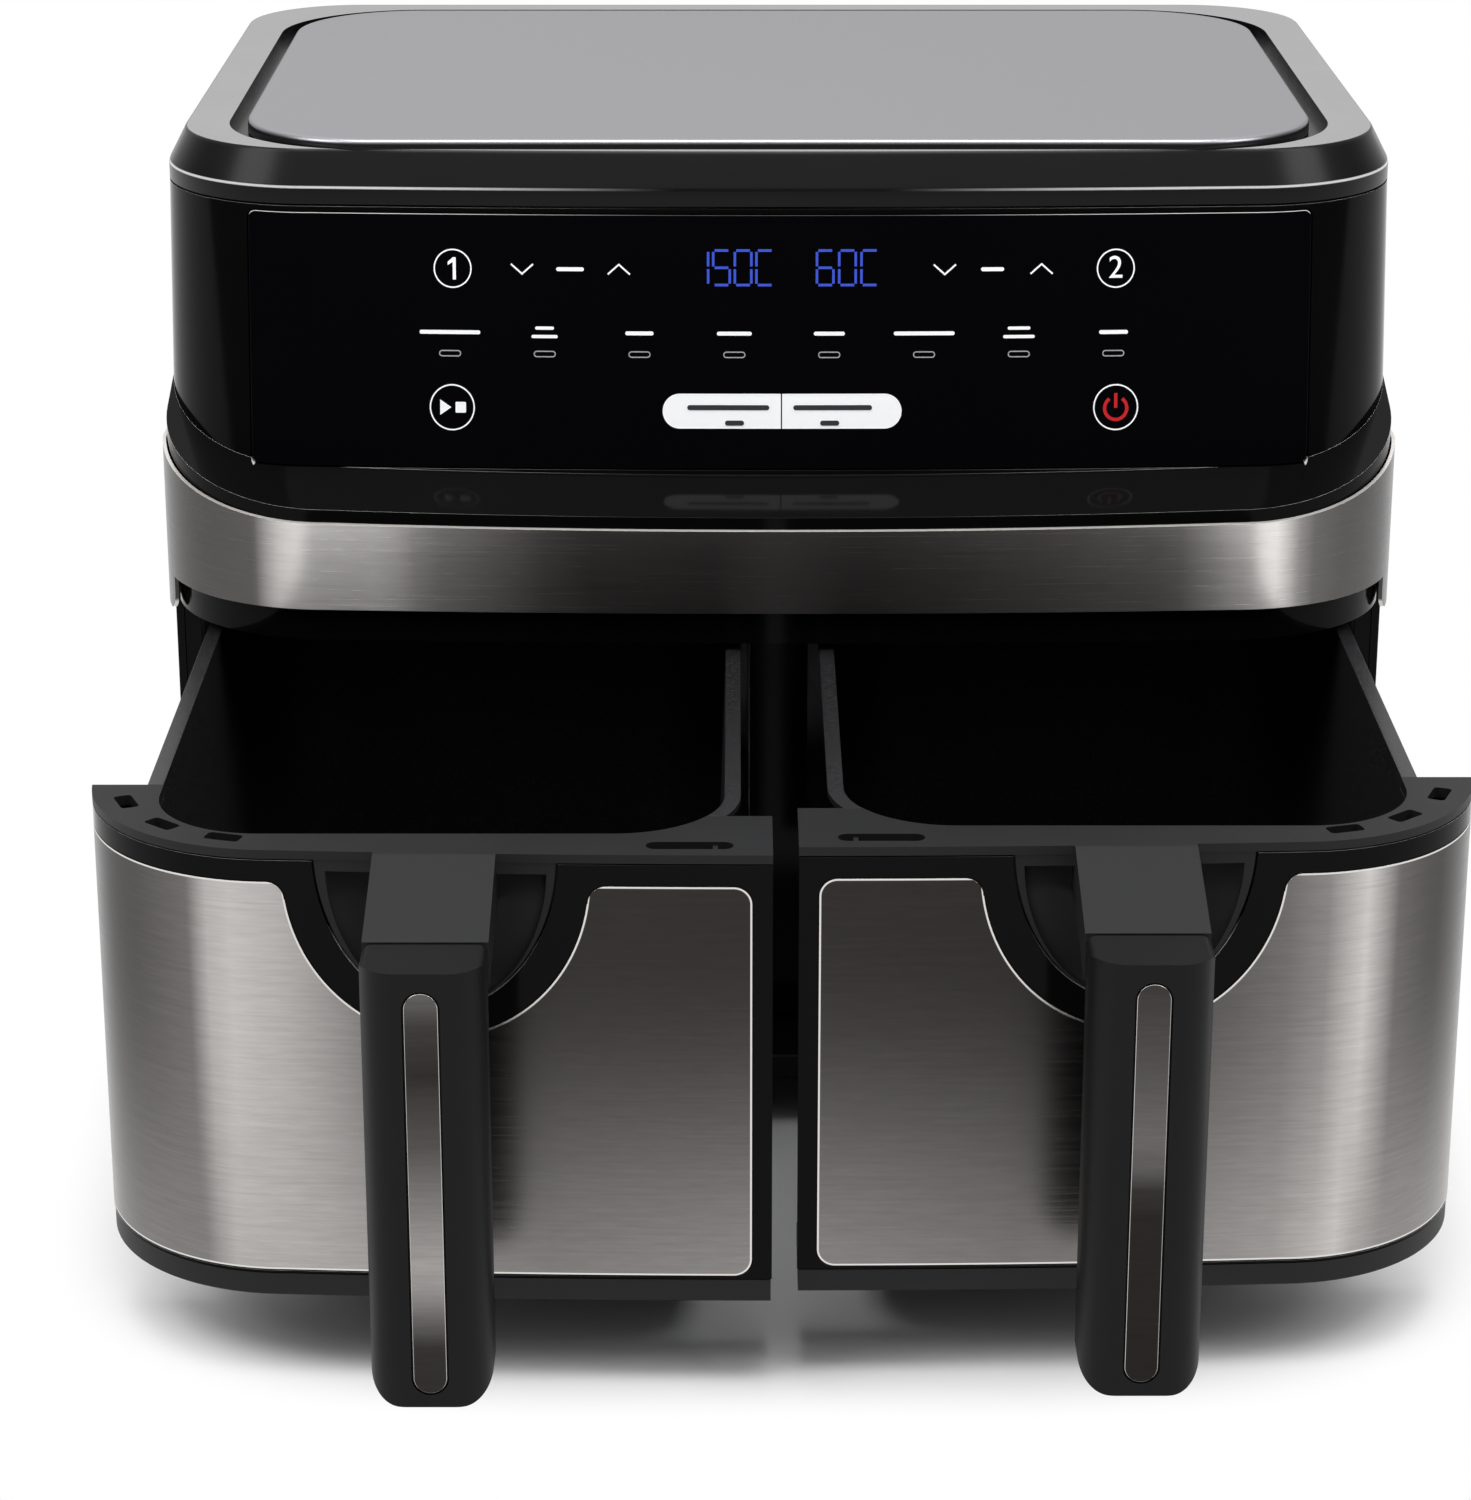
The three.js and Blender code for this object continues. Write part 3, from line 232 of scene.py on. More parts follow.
class Wire:
    """A shader socket. Sums of wires and numbers add Math nodes; add() makes any other node."""

    def __init__(self, tree, socket=None):
        self.tree = tree
        self.socket = socket

    def add(self, kind, settings=None, sockets=None, output=0):
        node = self.tree.nodes.new(kind)
        for key, value in (settings or {}).items():
            if key == "stops":
                ramp = node.color_ramp.elements
                while len(ramp) < len(value):
                    ramp.new(1)
                for element, (place, colour) in zip(ramp, value):
                    element.position = place
                    element.color = colour
            else:
                setattr(node, key, value)
        for key, value in (sockets or {}).items():
            if isinstance(value, Wire):
                self.tree.links.new(value.socket, node.inputs[key])
            else:
                node.inputs[key].default_value = value
        return Wire(self.tree, node.outputs[output] if node.outputs else None)

    def math(self, operation, first, second=0.0):
        return self.add("ShaderNodeMath", {"operation": operation}, {0: first, 1: second})

    def __add__(self, other):
        return self.math("ADD", self, other)

    def __radd__(self, other):
        return self.math("ADD", other, self)

    def __sub__(self, other):
        return self.math("SUBTRACT", self, other)

    def __rsub__(self, other):
        return self.math("SUBTRACT", other, self)

    def __mul__(self, other):
        return self.math("MULTIPLY", self, other)

    def __rmul__(self, other):
        return self.math("MULTIPLY", other, self)

    def __pow__(self, other):
        return self.math("POWER", self, other)

    def step(self, low, high, at_low=0.0, at_high=1.0):
        """A smooth ramp from at_low to at_high as the value goes from low to high."""
        sockets = {"Value": self, "From Min": low, "From Max": high, "To Min": at_low, "To Max": at_high}
        return self.add("ShaderNodeMapRange", {"interpolation_type": "SMOOTHSTEP"}, sockets)

    def between(self, dark, light):
        return self.add("ShaderNodeMix", {"data_type": "RGBA"}, {0: self, 6: (*dark, 1), 7: (*light, 1)}, 2)

    def place(self, stretch=(1, 1, 1)):
        """The point on the piece, in metres in the frame, stretched along each axis."""
        point = self.add("ShaderNodeTexCoord", output=3)
        sockets = {"Vector": point, "Scale": stretch}
        return self.add("ShaderNodeMapping", {}, sockets)

    def noise(self, scale, stretch=(1, 1, 1), detail=3.0, roughness=0.5):
        sockets = {"Vector": self.place(stretch), "Scale": scale, "Detail": detail, "Roughness": roughness}
        return self.add("ShaderNodeTexNoise", {}, sockets)

    def level(self, stops):
        """A brightness read off a ramp of (place, brightness) stops."""
        greys = [(at, (v, v, v, 1)) for at, v in stops]
        return self.add("ShaderNodeValToRGB", {"stops": greys}, {"Fac": self})

    def axis(self, index, kind="ShaderNodeTexCoord", output=3):
        """One coordinate of the point on the piece, or of its normal."""
        return self.add("ShaderNodeSeparateXYZ", {}, {"Vector": self.add(kind, output=output)}, index)

    def facing(self, index):
        return self.axis(index, "ShaderNodeNewGeometry", 1)

    def bump(self, height, strength, distance):
        sockets = {"Height": height, "Strength": strength, "Distance": distance}
        return self.add("ShaderNodeBump", {}, sockets)


def finish(name, surface):
    """A material whose surface(wire) returns the sockets of one Principled shader."""
    material = bpy.data.materials.new(name)
    material.use_nodes = True
    material.node_tree.nodes.clear()
    wire = Wire(material.node_tree)
    shader = wire.add("ShaderNodeBsdfPrincipled", {}, surface(wire))
    wire.add("ShaderNodeOutputMaterial", {}, {"Surface": shader})
    return material


def moulded(dark, light, roughness, grain=2600, gloss=0.25):
    def surface(wire):
        clouds = wire.noise(38)
        pits = wire.noise(grain, detail=2.0)
        return {
            "Base Color": clouds.between(dark, light),
            "Roughness": roughness + (clouds - 0.5) * 0.12,
            "Specular IOR Level": gloss,
            "Normal": wire.bump(pits, 0.18, 0.00012),
        }
    return surface


matte_plastic = finish(
    "matte_plastic", moulded((0.0105, 0.0107, 0.0114), (0.0145, 0.0147, 0.0155), 0.48, gloss=0.2))
rubber = finish("rubber", moulded((0.010, 0.010, 0.010), (0.020, 0.020, 0.020), 0.72, 1400))

# The pan is painted darker than the other black plastic, as painted shade where it shows between and under
# the drawers.
base_plastic = finish("base_plastic", moulded((0.004, 0.004, 0.0042), (0.006, 0.006, 0.0062), 0.5, gloss=0.1))
PAN_LOW, PAN_HIGH = (corner.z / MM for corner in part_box("base_pan"))
pan = column(body_plan(SHELL_INSET), PAN_LOW, PAN_HIGH)
fit("base_pan_moulding", pan, "housing", base_plastic, ["base_pan"], edge=1.6, segments=3)

for side, _ in SIDES:
    for end in ("front", "rear"):
        node = f"foot_{end}_{side}"
        low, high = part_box(node)
        x = (low.x + high.x) / 2 / MM
        y = ((low.y + high.y) / 2 - FRONT_Y) / MM
        top = high.z / MM
        profile = ((7.2, 0), (9.6, 0), (10, 0.7), (10.4, 6), (11.5, top), (6, top))
        foot = rings([at_height(circle(x, y, radius, 40), z) for radius, z in profile])
        fit(f"{node}_pad", foot, "housing", rubber, [node], edge=0)

# ---------------------------------------------------------------- Outer shell
# One gloss black moulding wraps the sides and the back behind the control housing. It hangs on
# clips inside, and shows as the dark cheeks beside the drawers and as the whole back.

SHELL_WALL = 2.5
SEAM_DEPTH = 106
PANEL_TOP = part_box("control_housing")[1].z / MM
MOUTH_DEPTH = 57
BAND_BOTTOM = 170.7
BASE_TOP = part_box("outer_shell")[0].z / MM
BACK_WALL_Y = BODY_DEPTH - SHELL_INSET
cover_low, cover_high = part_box("rear_cover")
COVER_HALF = cover_high.x / MM
COVER_LAP = 12
gland_low, gland_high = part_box("cord_gland")
GLAND_X = (gland_low.x + gland_high.x) / 2 / MM
GLAND_Z = (gland_low.z + gland_high.z) / 2 / MM


def body_ring(outer, inner, z0, z1):
    return cut(column(body_plan(outer), z0, z1), column(body_plan(inner), z0 - 1, z1 + 1))


def polished(colour, roughness, gloss=0.06):
    """Gloss black with a painted highlight along its rounded upper edges, stronger towards the sides."""
    def surface(wire):
        smears = wire.noise(16, detail=4.0)
        black = smears.between(colour, [c * 1.4 for c in colour])
        upward = wire.facing(2)
        sideways = wire.math("ABSOLUTE", wire.axis(0)).step(0.03, 0.125, 0.08, 1.0)
        # Painted highlight: pale grey on bevels that face partly upward, weaker at the middle.
        painted_highlight = upward.step(0.35, 0.5) * (1 - upward.step(0.84, 0.93)) * sideways
        return {
            "Base Color": wire.add("ShaderNodeMix", {"data_type": "RGBA"}, {
                0: painted_highlight, 6: black, 7: (0.62, 0.62, 0.61, 1)}, 2),
            "Roughness": roughness + smears.step(0.5, 0.75) * 0.04,
            "Specular IOR Level": gloss,
            "Normal": wire.bump(wire.noise(22, detail=1.0), 0.06, 0.0004),
        }
    return surface


# Its rounded upper edges carry the painted highlight.
gloss_plastic = finish("gloss_plastic", polished((0.0024, 0.0024, 0.0024), 0.08))

shell = cut(
    body_ring(SHELL_INSET, SHELL_INSET + SHELL_WALL, BASE_TOP, PANEL_TOP),
    block(-FAR, FAR, -FAR, MOUTH_DEPTH, BASE_TOP - 1, BAND_BOTTOM + GAP),
    block(-FAR, FAR, -FAR, SEAM_DEPTH + GAP, BAND_BOTTOM, PANEL_TOP + 1),
    through_depth(
        rounded(-COVER_HALF + COVER_LAP, COVER_HALF - COVER_LAP,
                cover_low.z / MM + COVER_LAP, cover_high.z / MM - COVER_LAP, 6),
        BACK_WALL_Y - SHELL_WALL - 1, BACK_WALL_Y + 1),
    through_depth(circle(GLAND_X, GLAND_Z, 6.4), BACK_WALL_Y - SHELL_WALL - 2, BACK_WALL_Y + 1))
fit("outer_shell_moulding", shell, "housing", gloss_plastic, ["outer_shell"])

# ---------------------------------------------------------------- Rear cover and cord gland
# A ribbed plastic cover with two banks of louvres lets the hot air out at the back, held by four
# screws. The gland beside it is a rubber bush where the lead would go in.

LOUVRE_COUNT = 9
LOUVRE_HEIGHT = 4
LOUVRE_LENGTH = COVER_HALF - 46
LOUVRE_X = 18 + LOUVRE_LENGTH / 2
cover_front = (cover_low.y - FRONT_Y) / MM
cover_back = (cover_high.y - FRONT_Y) / MM
cover_z0 = cover_low.z / MM
cover_z1 = cover_high.z / MM

slots = []
for i in range(LOUVRE_COUNT):
    z = cover_z0 + 2 * COVER_LAP + i * (cover_z1 - cover_z0 - 4 * COVER_LAP) / (LOUVRE_COUNT - 1)
    for sign in (-1, 1):
        x0 = sign * LOUVRE_X - LOUVRE_LENGTH / 2
        outline = rounded(x0, x0 + LOUVRE_LENGTH, z - LOUVRE_HEIGHT / 2, z + LOUVRE_HEIGHT / 2, 1.9, 6)
        slots.append(through_depth(outline, cover_front - 1, cover_back + 1))
screw_places = [(sx * (COVER_HALF - 9), z) for sx in (-1, 1) for z in (cover_z0 + 9, cover_z1 - 9)]
for x, z in screw_places:
    slots.append(through_depth(circle(x, z, 4, 32), cover_back - 2, cover_back + 1))
cover_outline = rounded(-COVER_HALF, COVER_HALF, cover_z0, cover_z1, 10)
cover = cut(through_depth(cover_outline, cover_front, cover_back), *slots)
fit("rear_cover_moulding", cover, "housing", matte_plastic, ["rear_cover"], edge=0.6)

flange = through_depth(circle(GLAND_X, GLAND_Z, 9), BACK_WALL_Y + GAP, BACK_WALL_Y + 3)
neck = through_depth(circle(GLAND_X, GLAND_Z, 6), BACK_WALL_Y - 6, BACK_WALL_Y + 5)
bush = cut(join(flange, neck), through_depth(circle(GLAND_X, GLAND_Z, 3.6), BACK_WALL_Y - 7, BACK_WALL_Y + 6))
fit("cord_gland_bush", bush, "housing", rubber, ["cord_gland"], edge=0.7, segments=3)

# ---------------------------------------------------------------- Mouth frame
# The plastic frame of the drawer mouth: a lip under the steel band, a ceiling behind it, a centre
# post between the drawers and a jamb at each side. It is screwed to the liners and the shell.

LIP_INSET = 3.2
LIP_BOTTOM = 160.2
LIP_THICKNESS = 2.5
INSIDE_SHELL = SHELL_INSET + SHELL_WALL + GAP
CHAMBER_FRONT = 60.4


def ahead_of(y):
    return block(-FAR, FAR, -FAR, y, 0, FAR)


lip = join(
    body_ring(LIP_INSET, LIP_INSET + LIP_THICKNESS, LIP_BOTTOM, BAND_BOTTOM - 0.3),
    column(body_plan(LIP_INSET), LIP_BOTTOM, LIP_BOTTOM + LIP_THICKNESS))
lip = common(lip, ahead_of(MOUTH_DEPTH - GAP))
ceiling = common(column(body_plan(INSIDE_SHELL), LIP_BOTTOM, LIP_BOTTOM + LIP_THICKNESS),
                 ahead_of(CHAMBER_FRONT - GAP))
jamb = HALF_WIDTH - INSIDE_SHELL
mouth = join(
    lip, ceiling, block(-9, 9, 32, CHAMBER_FRONT - GAP, BASE_TOP, LIP_BOTTOM + 1),
    *[block(s * (jamb - 5), s * jamb, MOUTH_DEPTH - 0.8, CHAMBER_FRONT - GAP, BASE_TOP, LIP_BOTTOM + 1)
      for s in (-1, 1)])
fit("mouth_frame_moulding", mouth, "housing", gloss_plastic, ["mouth_frame"], edge=0.5)

# ---------------------------------------------------------------- Steel band
# A strip of stainless steel a millimetre thick, brushed along its length and bent round the
# corners. It is stuck into a rebate between the mouth and the housing. Its edges carry a painted
# highlight, and painted reflections run along it.

BAND_THICKNESS = 1.1
BAND_TOP_FRONT = 196.6
BAND_TOP_SIDE = band_high.z / MM
BAND_SIDE_BOTTOM = band_low.z / MM
BAND_LEVEL_Y = 52
BAND_STEP_Y = 38
BAND_END_Y = (band_high.y - band_low.y) / MM


def brushed(shade, rim, metallic=1.0):
    """Brushed steel. Its painted reflections are shade(wire), with a painted highlight where rim(wire) is 1.
    """
    def surface(wire):
        streaks = wire.noise(1.0, (26, 26, 1700), 4.0, 0.6)
        scratches = wire.noise(1.0, (110, 110, 900), 2.0)
        grain = 1 + (streaks - 0.5) * 0.34 + (scratches - 0.5) * 0.24
        edge = rim(wire)
        # Painted reflections times the grain, and a pale painted highlight where the rim mask is 1.
        tone = shade(wire) * grain * (1 - edge) + edge * 0.75
        colour = wire.add("ShaderNodeCombineColor", {}, {
            "Red": tone * 1.02 + 0.002, "Green": tone * 0.985, "Blue": tone * 0.955})
        return {
            "Base Color": colour,
            "Metallic": metallic,
            "Roughness": 0.25 + (streaks - 0.5) * 0.16,
            "Normal": wire.bump(streaks, 0.08, 0.00005),
        }
    return surface


# Where the painted highlight goes: bevels that face partly up or down.
def painted_bevel_highlight(wire):
    return wire.math("ABSOLUTE", wire.facing(2)).step(0.30, 0.55)


def band_shade(wire):
    """Soft light and dark zones painted along the band, as if it reflected a studio."""
    along = (wire.axis(0) + HALF_WIDTH * MM) * (0.5 / (HALF_WIDTH * MM))
    return along.level((
        (0.0, 0.04), (0.03, 0.06), (0.085, 0.10), (0.105, 0.60), (0.128, 0.98), (0.18, 0.98),
        (0.198, 0.86), (0.213, 0.58), (0.233, 0.40), (0.274, 0.24), (0.315, 0.11), (0.35, 0.065),
        (0.45, 0.045), (0.57, 0.05), (0.632, 0.075), (0.713, 0.125), (0.795, 0.20), (0.815, 0.26),
        (0.835, 0.47), (0.856, 0.76), (0.875, 0.97), (0.89, 0.95), (0.909, 0.30), (0.922, 0.14),
        (0.945, 0.09), (1.0, 0.05)))


band_steel = finish("band_steel", brushed(band_shade, painted_bevel_highlight, 0.6))
rise = (BAND_TOP_SIDE - BAND_TOP_FRONT) / BAND_LEVEL_Y
profile = (
    [(-10, BAND_BOTTOM), (BAND_STEP_Y, BAND_BOTTOM)]
    + arc(BAND_STEP_Y + 6, BAND_SIDE_BOTTOM + 6, 6, 6, 180, 270, 10)
    + arc(BAND_END_Y - 8, BAND_SIDE_BOTTOM + 8, 8, 8, -90, 0, 10)
    + arc(BAND_END_Y - 8, BAND_TOP_SIDE - 8, 8, 8, 0, 90, 10)
    + [(BAND_LEVEL_Y, BAND_TOP_SIDE), (-10, BAND_TOP_FRONT - 10 * rise)])
band = common(body_ring(0, BAND_THICKNESS, BAND_SIDE_BOTTOM - 1, BAND_TOP_SIDE + 1),
              across_width(profile, -FAR, FAR))
fit("steel_band_strip", band, "housing", band_steel, ["steel_band"], edge=0.5)

# ---------------------------------------------------------------- Control housing
# The gloss black front of the body. A short foot rises behind the band to a sloping ledge, and
# the panel above leans back. The touch lens sits in its window.

FASCIA_WALL = 4
LEDGE_FRONT_Y = 3
LEDGE_FRONT_Z = 201
LEDGE_BACK_Y = 23
LEDGE_BACK_Z = 207.8
LEDGE_SLOPE = (LEDGE_BACK_Z - LEDGE_FRONT_Z) / (LEDGE_BACK_Y - LEDGE_FRONT_Y)
PANEL_LEAN = 0.2
LENS_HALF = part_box("control_lens")[1].x / MM
LENS_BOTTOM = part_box("control_lens")[0].z / MM
LENS_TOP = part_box("control_lens")[1].z / MM
LENS_THICKNESS = 2


def panel_front(z):
    return LEDGE_BACK_Y + PANEL_LEAN * (z - LEDGE_BACK_Z)


def upper_body(depth, z0, z1):
    plans = [body_plan(SHELL_INSET + depth, panel_front(z) - SHELL_INSET, UPPER_CORNER) for z in (z0, z1)]
    return loft(plans[0], z0, plans[1], z1)


def above_ledge(drop):
    def height(y):
        return LEDGE_FRONT_Z + LEDGE_SLOPE * (y - LEDGE_FRONT_Y) - drop
    return across_width([(-20, height(-20)), (FAR, height(FAR)), (FAR, FAR), (-20, FAR)], -FAR, FAR)


def lens_outline(margin):
    return rounded(-LENS_HALF - margin, LENS_HALF + margin, LENS_BOTTOM - margin, LENS_TOP + margin, 2.5, 6)


skirt = BAND_BOTTOM + GAP
ledge_foot = cut(column(body_plan(SHELL_INSET), skirt, 250), above_ledge(0))
foot_room = cut(column(body_plan(SHELL_INSET + FASCIA_WALL), skirt - 1, 250), above_ledge(FASCIA_WALL))
pocket = cut(
    through_depth(lens_outline(GAP), -20, 80),
    upper_body(LENS_THICKNESS + GAP, LENS_BOTTOM - 9, LENS_TOP + 9))
housing = cut(
    join(ledge_foot, upper_body(0, LEDGE_FRONT_Z - 3, PANEL_TOP)),
    foot_room, upper_body(FASCIA_WALL, LEDGE_FRONT_Z - 12, PANEL_TOP + 2), pocket,
    through_depth(lens_outline(-8), -20, 80), block(-FAR, FAR, SEAM_DEPTH, FAR, 0, FAR))
fit("control_housing_moulding", housing, "housing", gloss_plastic, ["control_housing"],
    edge=0.7, segments=3)

# ---------------------------------------------------------------- Touch lens and its printed symbols
# A sheet of clear acrylic, black on its back, bonded into the window. White symbols are printed
# on it, and the figures of the display and the power mark shine through.

# The lens carries the same painted highlight along its rounded upper edges.
lens_black = finish("lens_black", polished((0.0014, 0.0014, 0.0019), 0.045))
lens = common(
    cut(upper_body(0, LENS_BOTTOM - 8, LENS_TOP + 1.5),
        upper_body(LENS_THICKNESS, LENS_BOTTOM - 9, LENS_TOP + 2.5)),
    through_depth(lens_outline(0), -20, 80))
fit("control_lens_sheet", lens, "housing", lens_black, ["control_lens"], edge=0.3)

PRINT_RIGHT, PRINT_DOWN = 1.3, 0.6
INK_LIFT = 0.05
INK_DEPTH = 0.08


def ink(colour, glow):
    def surface(wire):
        mottle = wire.noise(900)
        return {
            "Base Color": mottle.between([c * 0.92 for c in colour], colour),
            "Roughness": 0.35,
            "Emission Color": mottle.between([c * 0.9 for c in colour], colour),
            "Emission Strength": glow,
        }
    return surface


white_ink = finish("white_ink", ink((0.86, 0.87, 0.88), 0.25))
grey_ink = finish("grey_ink", ink((0.38, 0.38, 0.39), 0.1))
black_ink = finish("black_ink", ink((0.03, 0.03, 0.035), 0.0))
blue_light = finish("blue_light", ink((0.030, 0.062, 0.44), 0.55))
red_light = finish("red_light", ink((0.36, 0.006, 0.010), 0.6))


def print_on_lens(name, shapes, material, lift=0):
    """Flat shapes in x and z, raised a hair off the bowed and leaning face of the lens."""
    made = bmesh.new()
    for outline, hole in shapes:
        layers = []
        for depth in (INK_LIFT + INK_DEPTH + lift, INK_LIFT + lift):
            layers.append([
                [made.verts.new((x, panel_front(z) + bow(x) - depth, z))
                 for x, z in ((px + PRINT_RIGHT, pz - PRINT_DOWN) for px, pz in loop)]
                for loop in (outline, hole) if loop])
        face_layer, back_layer = layers
        for front_loop, back_loop in zip(face_layer, back_layer):
            count = len(front_loop)
            for i in range(count):
                j = (i + 1) % count
                made.faces.new((front_loop[i], front_loop[j], back_loop[j], back_loop[i]))
        for layer in layers:
            if hole:
                count = len(layer[0])
                for i in range(count):
                    j = (i + 1) % count
                    made.faces.new((layer[0][i], layer[0][j], layer[1][j], layer[1][i]))
            else:
                made.faces.new(layer[0])
    bmesh.ops.recalc_face_normals(made, faces=made.faces)
    made.transform(Matrix.Translation((0, FRONT_Y, 0)) @ Matrix.Scale(MM, 4))
    mesh = bpy.data.meshes.new(name)
    made.to_mesh(mesh)
    made.free()
    piece = bpy.data.objects.new(name, mesh)
    bpy.context.scene.collection.objects.link(piece)
    dress(piece, material)
    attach(piece, "housing")
    return piece


def ring(x, z, radius, line):
    return circle(x, z, radius, 64), circle(x, z, radius - line, 64)


def bar(x0, z0, x1, z1, line):
    """A stroke of even width between two points."""
    length = math.hypot(x1 - x0, z1 - z0)
    nx, nz = -(z1 - z0) / length * line / 2, (x1 - x0) / length * line / 2
    return [(x0 + nx, z0 + nz), (x1 + nx, z1 + nz), (x1 - nx, z1 - nz), (x0 - nx, z0 - nz)], None


def pill(x, z, width, height):
    return rounded(x - width / 2, x + width / 2, z - height / 2, z + height / 2, height / 2 - 0.01, 8)


def pill_ring(x, z, width, height, line):
    return pill(x, z, width, height), pill(x, z, width - 2 * line, height - 2 * line)


def bent_stroke(points, line):
    """An open stroke with mitred bends."""
    left, right = [], []
    for i, (x, z) in enumerate(points):
        before = points[max(i - 1, 0)]
        after = points[min(i + 1, len(points) - 1)]
        dx, dz = after[0] - before[0], after[1] - before[1]
        length = math.hypot(dx, dz)
        bend = 1.0
        if 0 < i < len(points) - 1:
            ax, az = x - before[0], z - before[1]
            bend = length * math.hypot(ax, az) / max(ax * dx + az * dz, 0.1)
        nx, nz = -dz / length * line / 2 * bend, dx / length * line / 2 * bend
        left.append((x + nx, z + nz))
        right.append((x - nx, z - nz))
    return left + right[::-1], None


ZONE_X = 100.7
ZONE_Z = 269.5
ZONE_RADIUS = 5.8
LINE = 0.42
white_marks = [ring(s * ZONE_X, ZONE_Z, ZONE_RADIUS, LINE) for s in (-1, 1)]
for x, up in ((-79.6, -1), (-50.2, 1), (48.7, -1), (78.1, 1)):
    points = [(x - 3.35, ZONE_Z - up * 1.45), (x, ZONE_Z + up * 1.45), (x + 3.35, ZONE_Z - up * 1.45)]
    white_marks.append(bent_stroke(points, 0.5))
for x, width in ((-65.0, 8.4), (63.2, 7.0)):
    white_marks.append((pill(x, ZONE_Z, width, 1.15), None))

KEY_X0 = -101.7
KEY_PITCH = 28.85
KEY_WIDTHS = (18.5, 8.0, 8.6, 10.6, 9.4, 18.5, 9.6, 8.8)
for i, width in enumerate(KEY_WIDTHS):
    x = KEY_X0 + i * KEY_PITCH
    if i in (1, 6):
        white_marks += [(pill(x, 252.0, width * 0.72, 0.95), None), (pill(x, 249.5, width, 0.95), None)]
    else:
        white_marks.append((pill(x, 250.6, width, 1.15), None))
key_marks = [pill_ring(KEY_X0 + i * KEY_PITCH, 244.3, 6.7, 1.9, 0.3) for i in range(len(KEY_WIDTHS))]

ROUND_KEY_Z = 228.2
ROUND_KEY_RADIUS = 6.9
white_marks += [ring(s * 101.2, ROUND_KEY_Z, ROUND_KEY_RADIUS, LINE) for s in (-1, 1)]
white_marks.append(([(-104.9, 225.9), (-104.9, 230.5), (-101.5, 228.2)], None))
white_marks.append((rounded(-100.2, -97.0, 226.6, 229.8, 0.3, 3), None))

SMART_LEFT, SMART_RIGHT = -37.0, 35.8
SMART_Z = 227.5
SMART_HEIGHT = 10.4
for x0, x1 in ((SMART_LEFT, -1.0), (-0.6, SMART_RIGHT)):
    end = SMART_HEIGHT / 2
    z0, z1 = SMART_Z - end, SMART_Z + end
    if x0 < -10:
        outline = arc(x0 + end, SMART_Z, end, end, 90, 270, 24) + [(x1, z0), (x1, z1)]
    else:
        outline = arc(x1 - end, SMART_Z, end, end, -90, 90, 24) + [(x0, z1), (x0, z0)]
    white_marks.append((outline, None))
one = -ZONE_X + 0.5
white_marks.append(bar(one, ZONE_Z - 3.3, one, ZONE_Z + 3.3, 0.95))
white_marks.append(([(one - 0.4, ZONE_Z + 3.3), (one - 2.0, ZONE_Z + 1.9), (one - 2.0, ZONE_Z + 1.0),
                     (one - 0.4, ZONE_Z + 1.9)], None))
print_on_lens("printed_marks", white_marks, white_ink)
print_on_lens("key_lamp_outlines", key_marks, grey_ink)
dark_marks = [(pill(x, 224.0, 5.8, 1.5), None) for x in (-15.1, 13.9)]
dark_marks += [(pill(x, 228.6, width, 1.5), None) for x, width in ((-17.0, 25.0), (14.8, 24.0))]
print_on_lens("smart_key_marks", dark_marks, black_ink, INK_DEPTH + 0.02)

power = bent_stroke(arc(101.2, ROUND_KEY_Z - 0.3, 3.4, 3.4, 125, 415, 30), 1.0)
print_on_lens("power_mark", [power, bar(101.2, ROUND_KEY_Z - 0.2, 101.2, ROUND_KEY_Z + 4.2, 1.0)], red_light)

# Seven strokes per figure, lettered a to g from the top, clockwise, with g across the middle.
FIGURES = {"1": "bc", "5": "afgcd", "0": "abcdef", "6": "afgedc", "C": "afed"}
FIGURE_WIDTH = 5.0
FIGURE_HEIGHT = 10.2
FIGURE_Z = 270.1
STROKE = 0.75
STROKE_GAP = 0.42


def figure(sign, x, z):
    w, h = FIGURE_WIDTH / 2, FIGURE_HEIGHT / 2
    ends = {
        "a": (-w, h, w, h), "g": (-w, 0, w, 0), "d": (-w, -h, w, -h),
        "f": (-w, 0, -w, h), "b": (w, 0, w, h), "e": (-w, -h, -w, 0), "c": (w, -h, w, 0)}
    strokes = []
    for letter in FIGURES[sign]:
        x0, z0, x1, z1 = ends[letter]
        length = math.hypot(x1 - x0, z1 - z0)
        ux, uz = (x1 - x0) / length * STROKE_GAP, (z1 - z0) / length * STROKE_GAP
        strokes.append(bar(x + x0 + ux, z + z0 + uz, x + x1 - ux, z + z1 - uz, STROKE))
    return strokes


figures = []
for text, x0, pitch in (("150C", -25.6, 6.55), ("60C", 12.4, 6.75)):
    for i, sign in enumerate(text):
        figures += figure(sign, x0 + i * pitch, FIGURE_Z)
print_on_lens("display_figures", figures, blue_light)


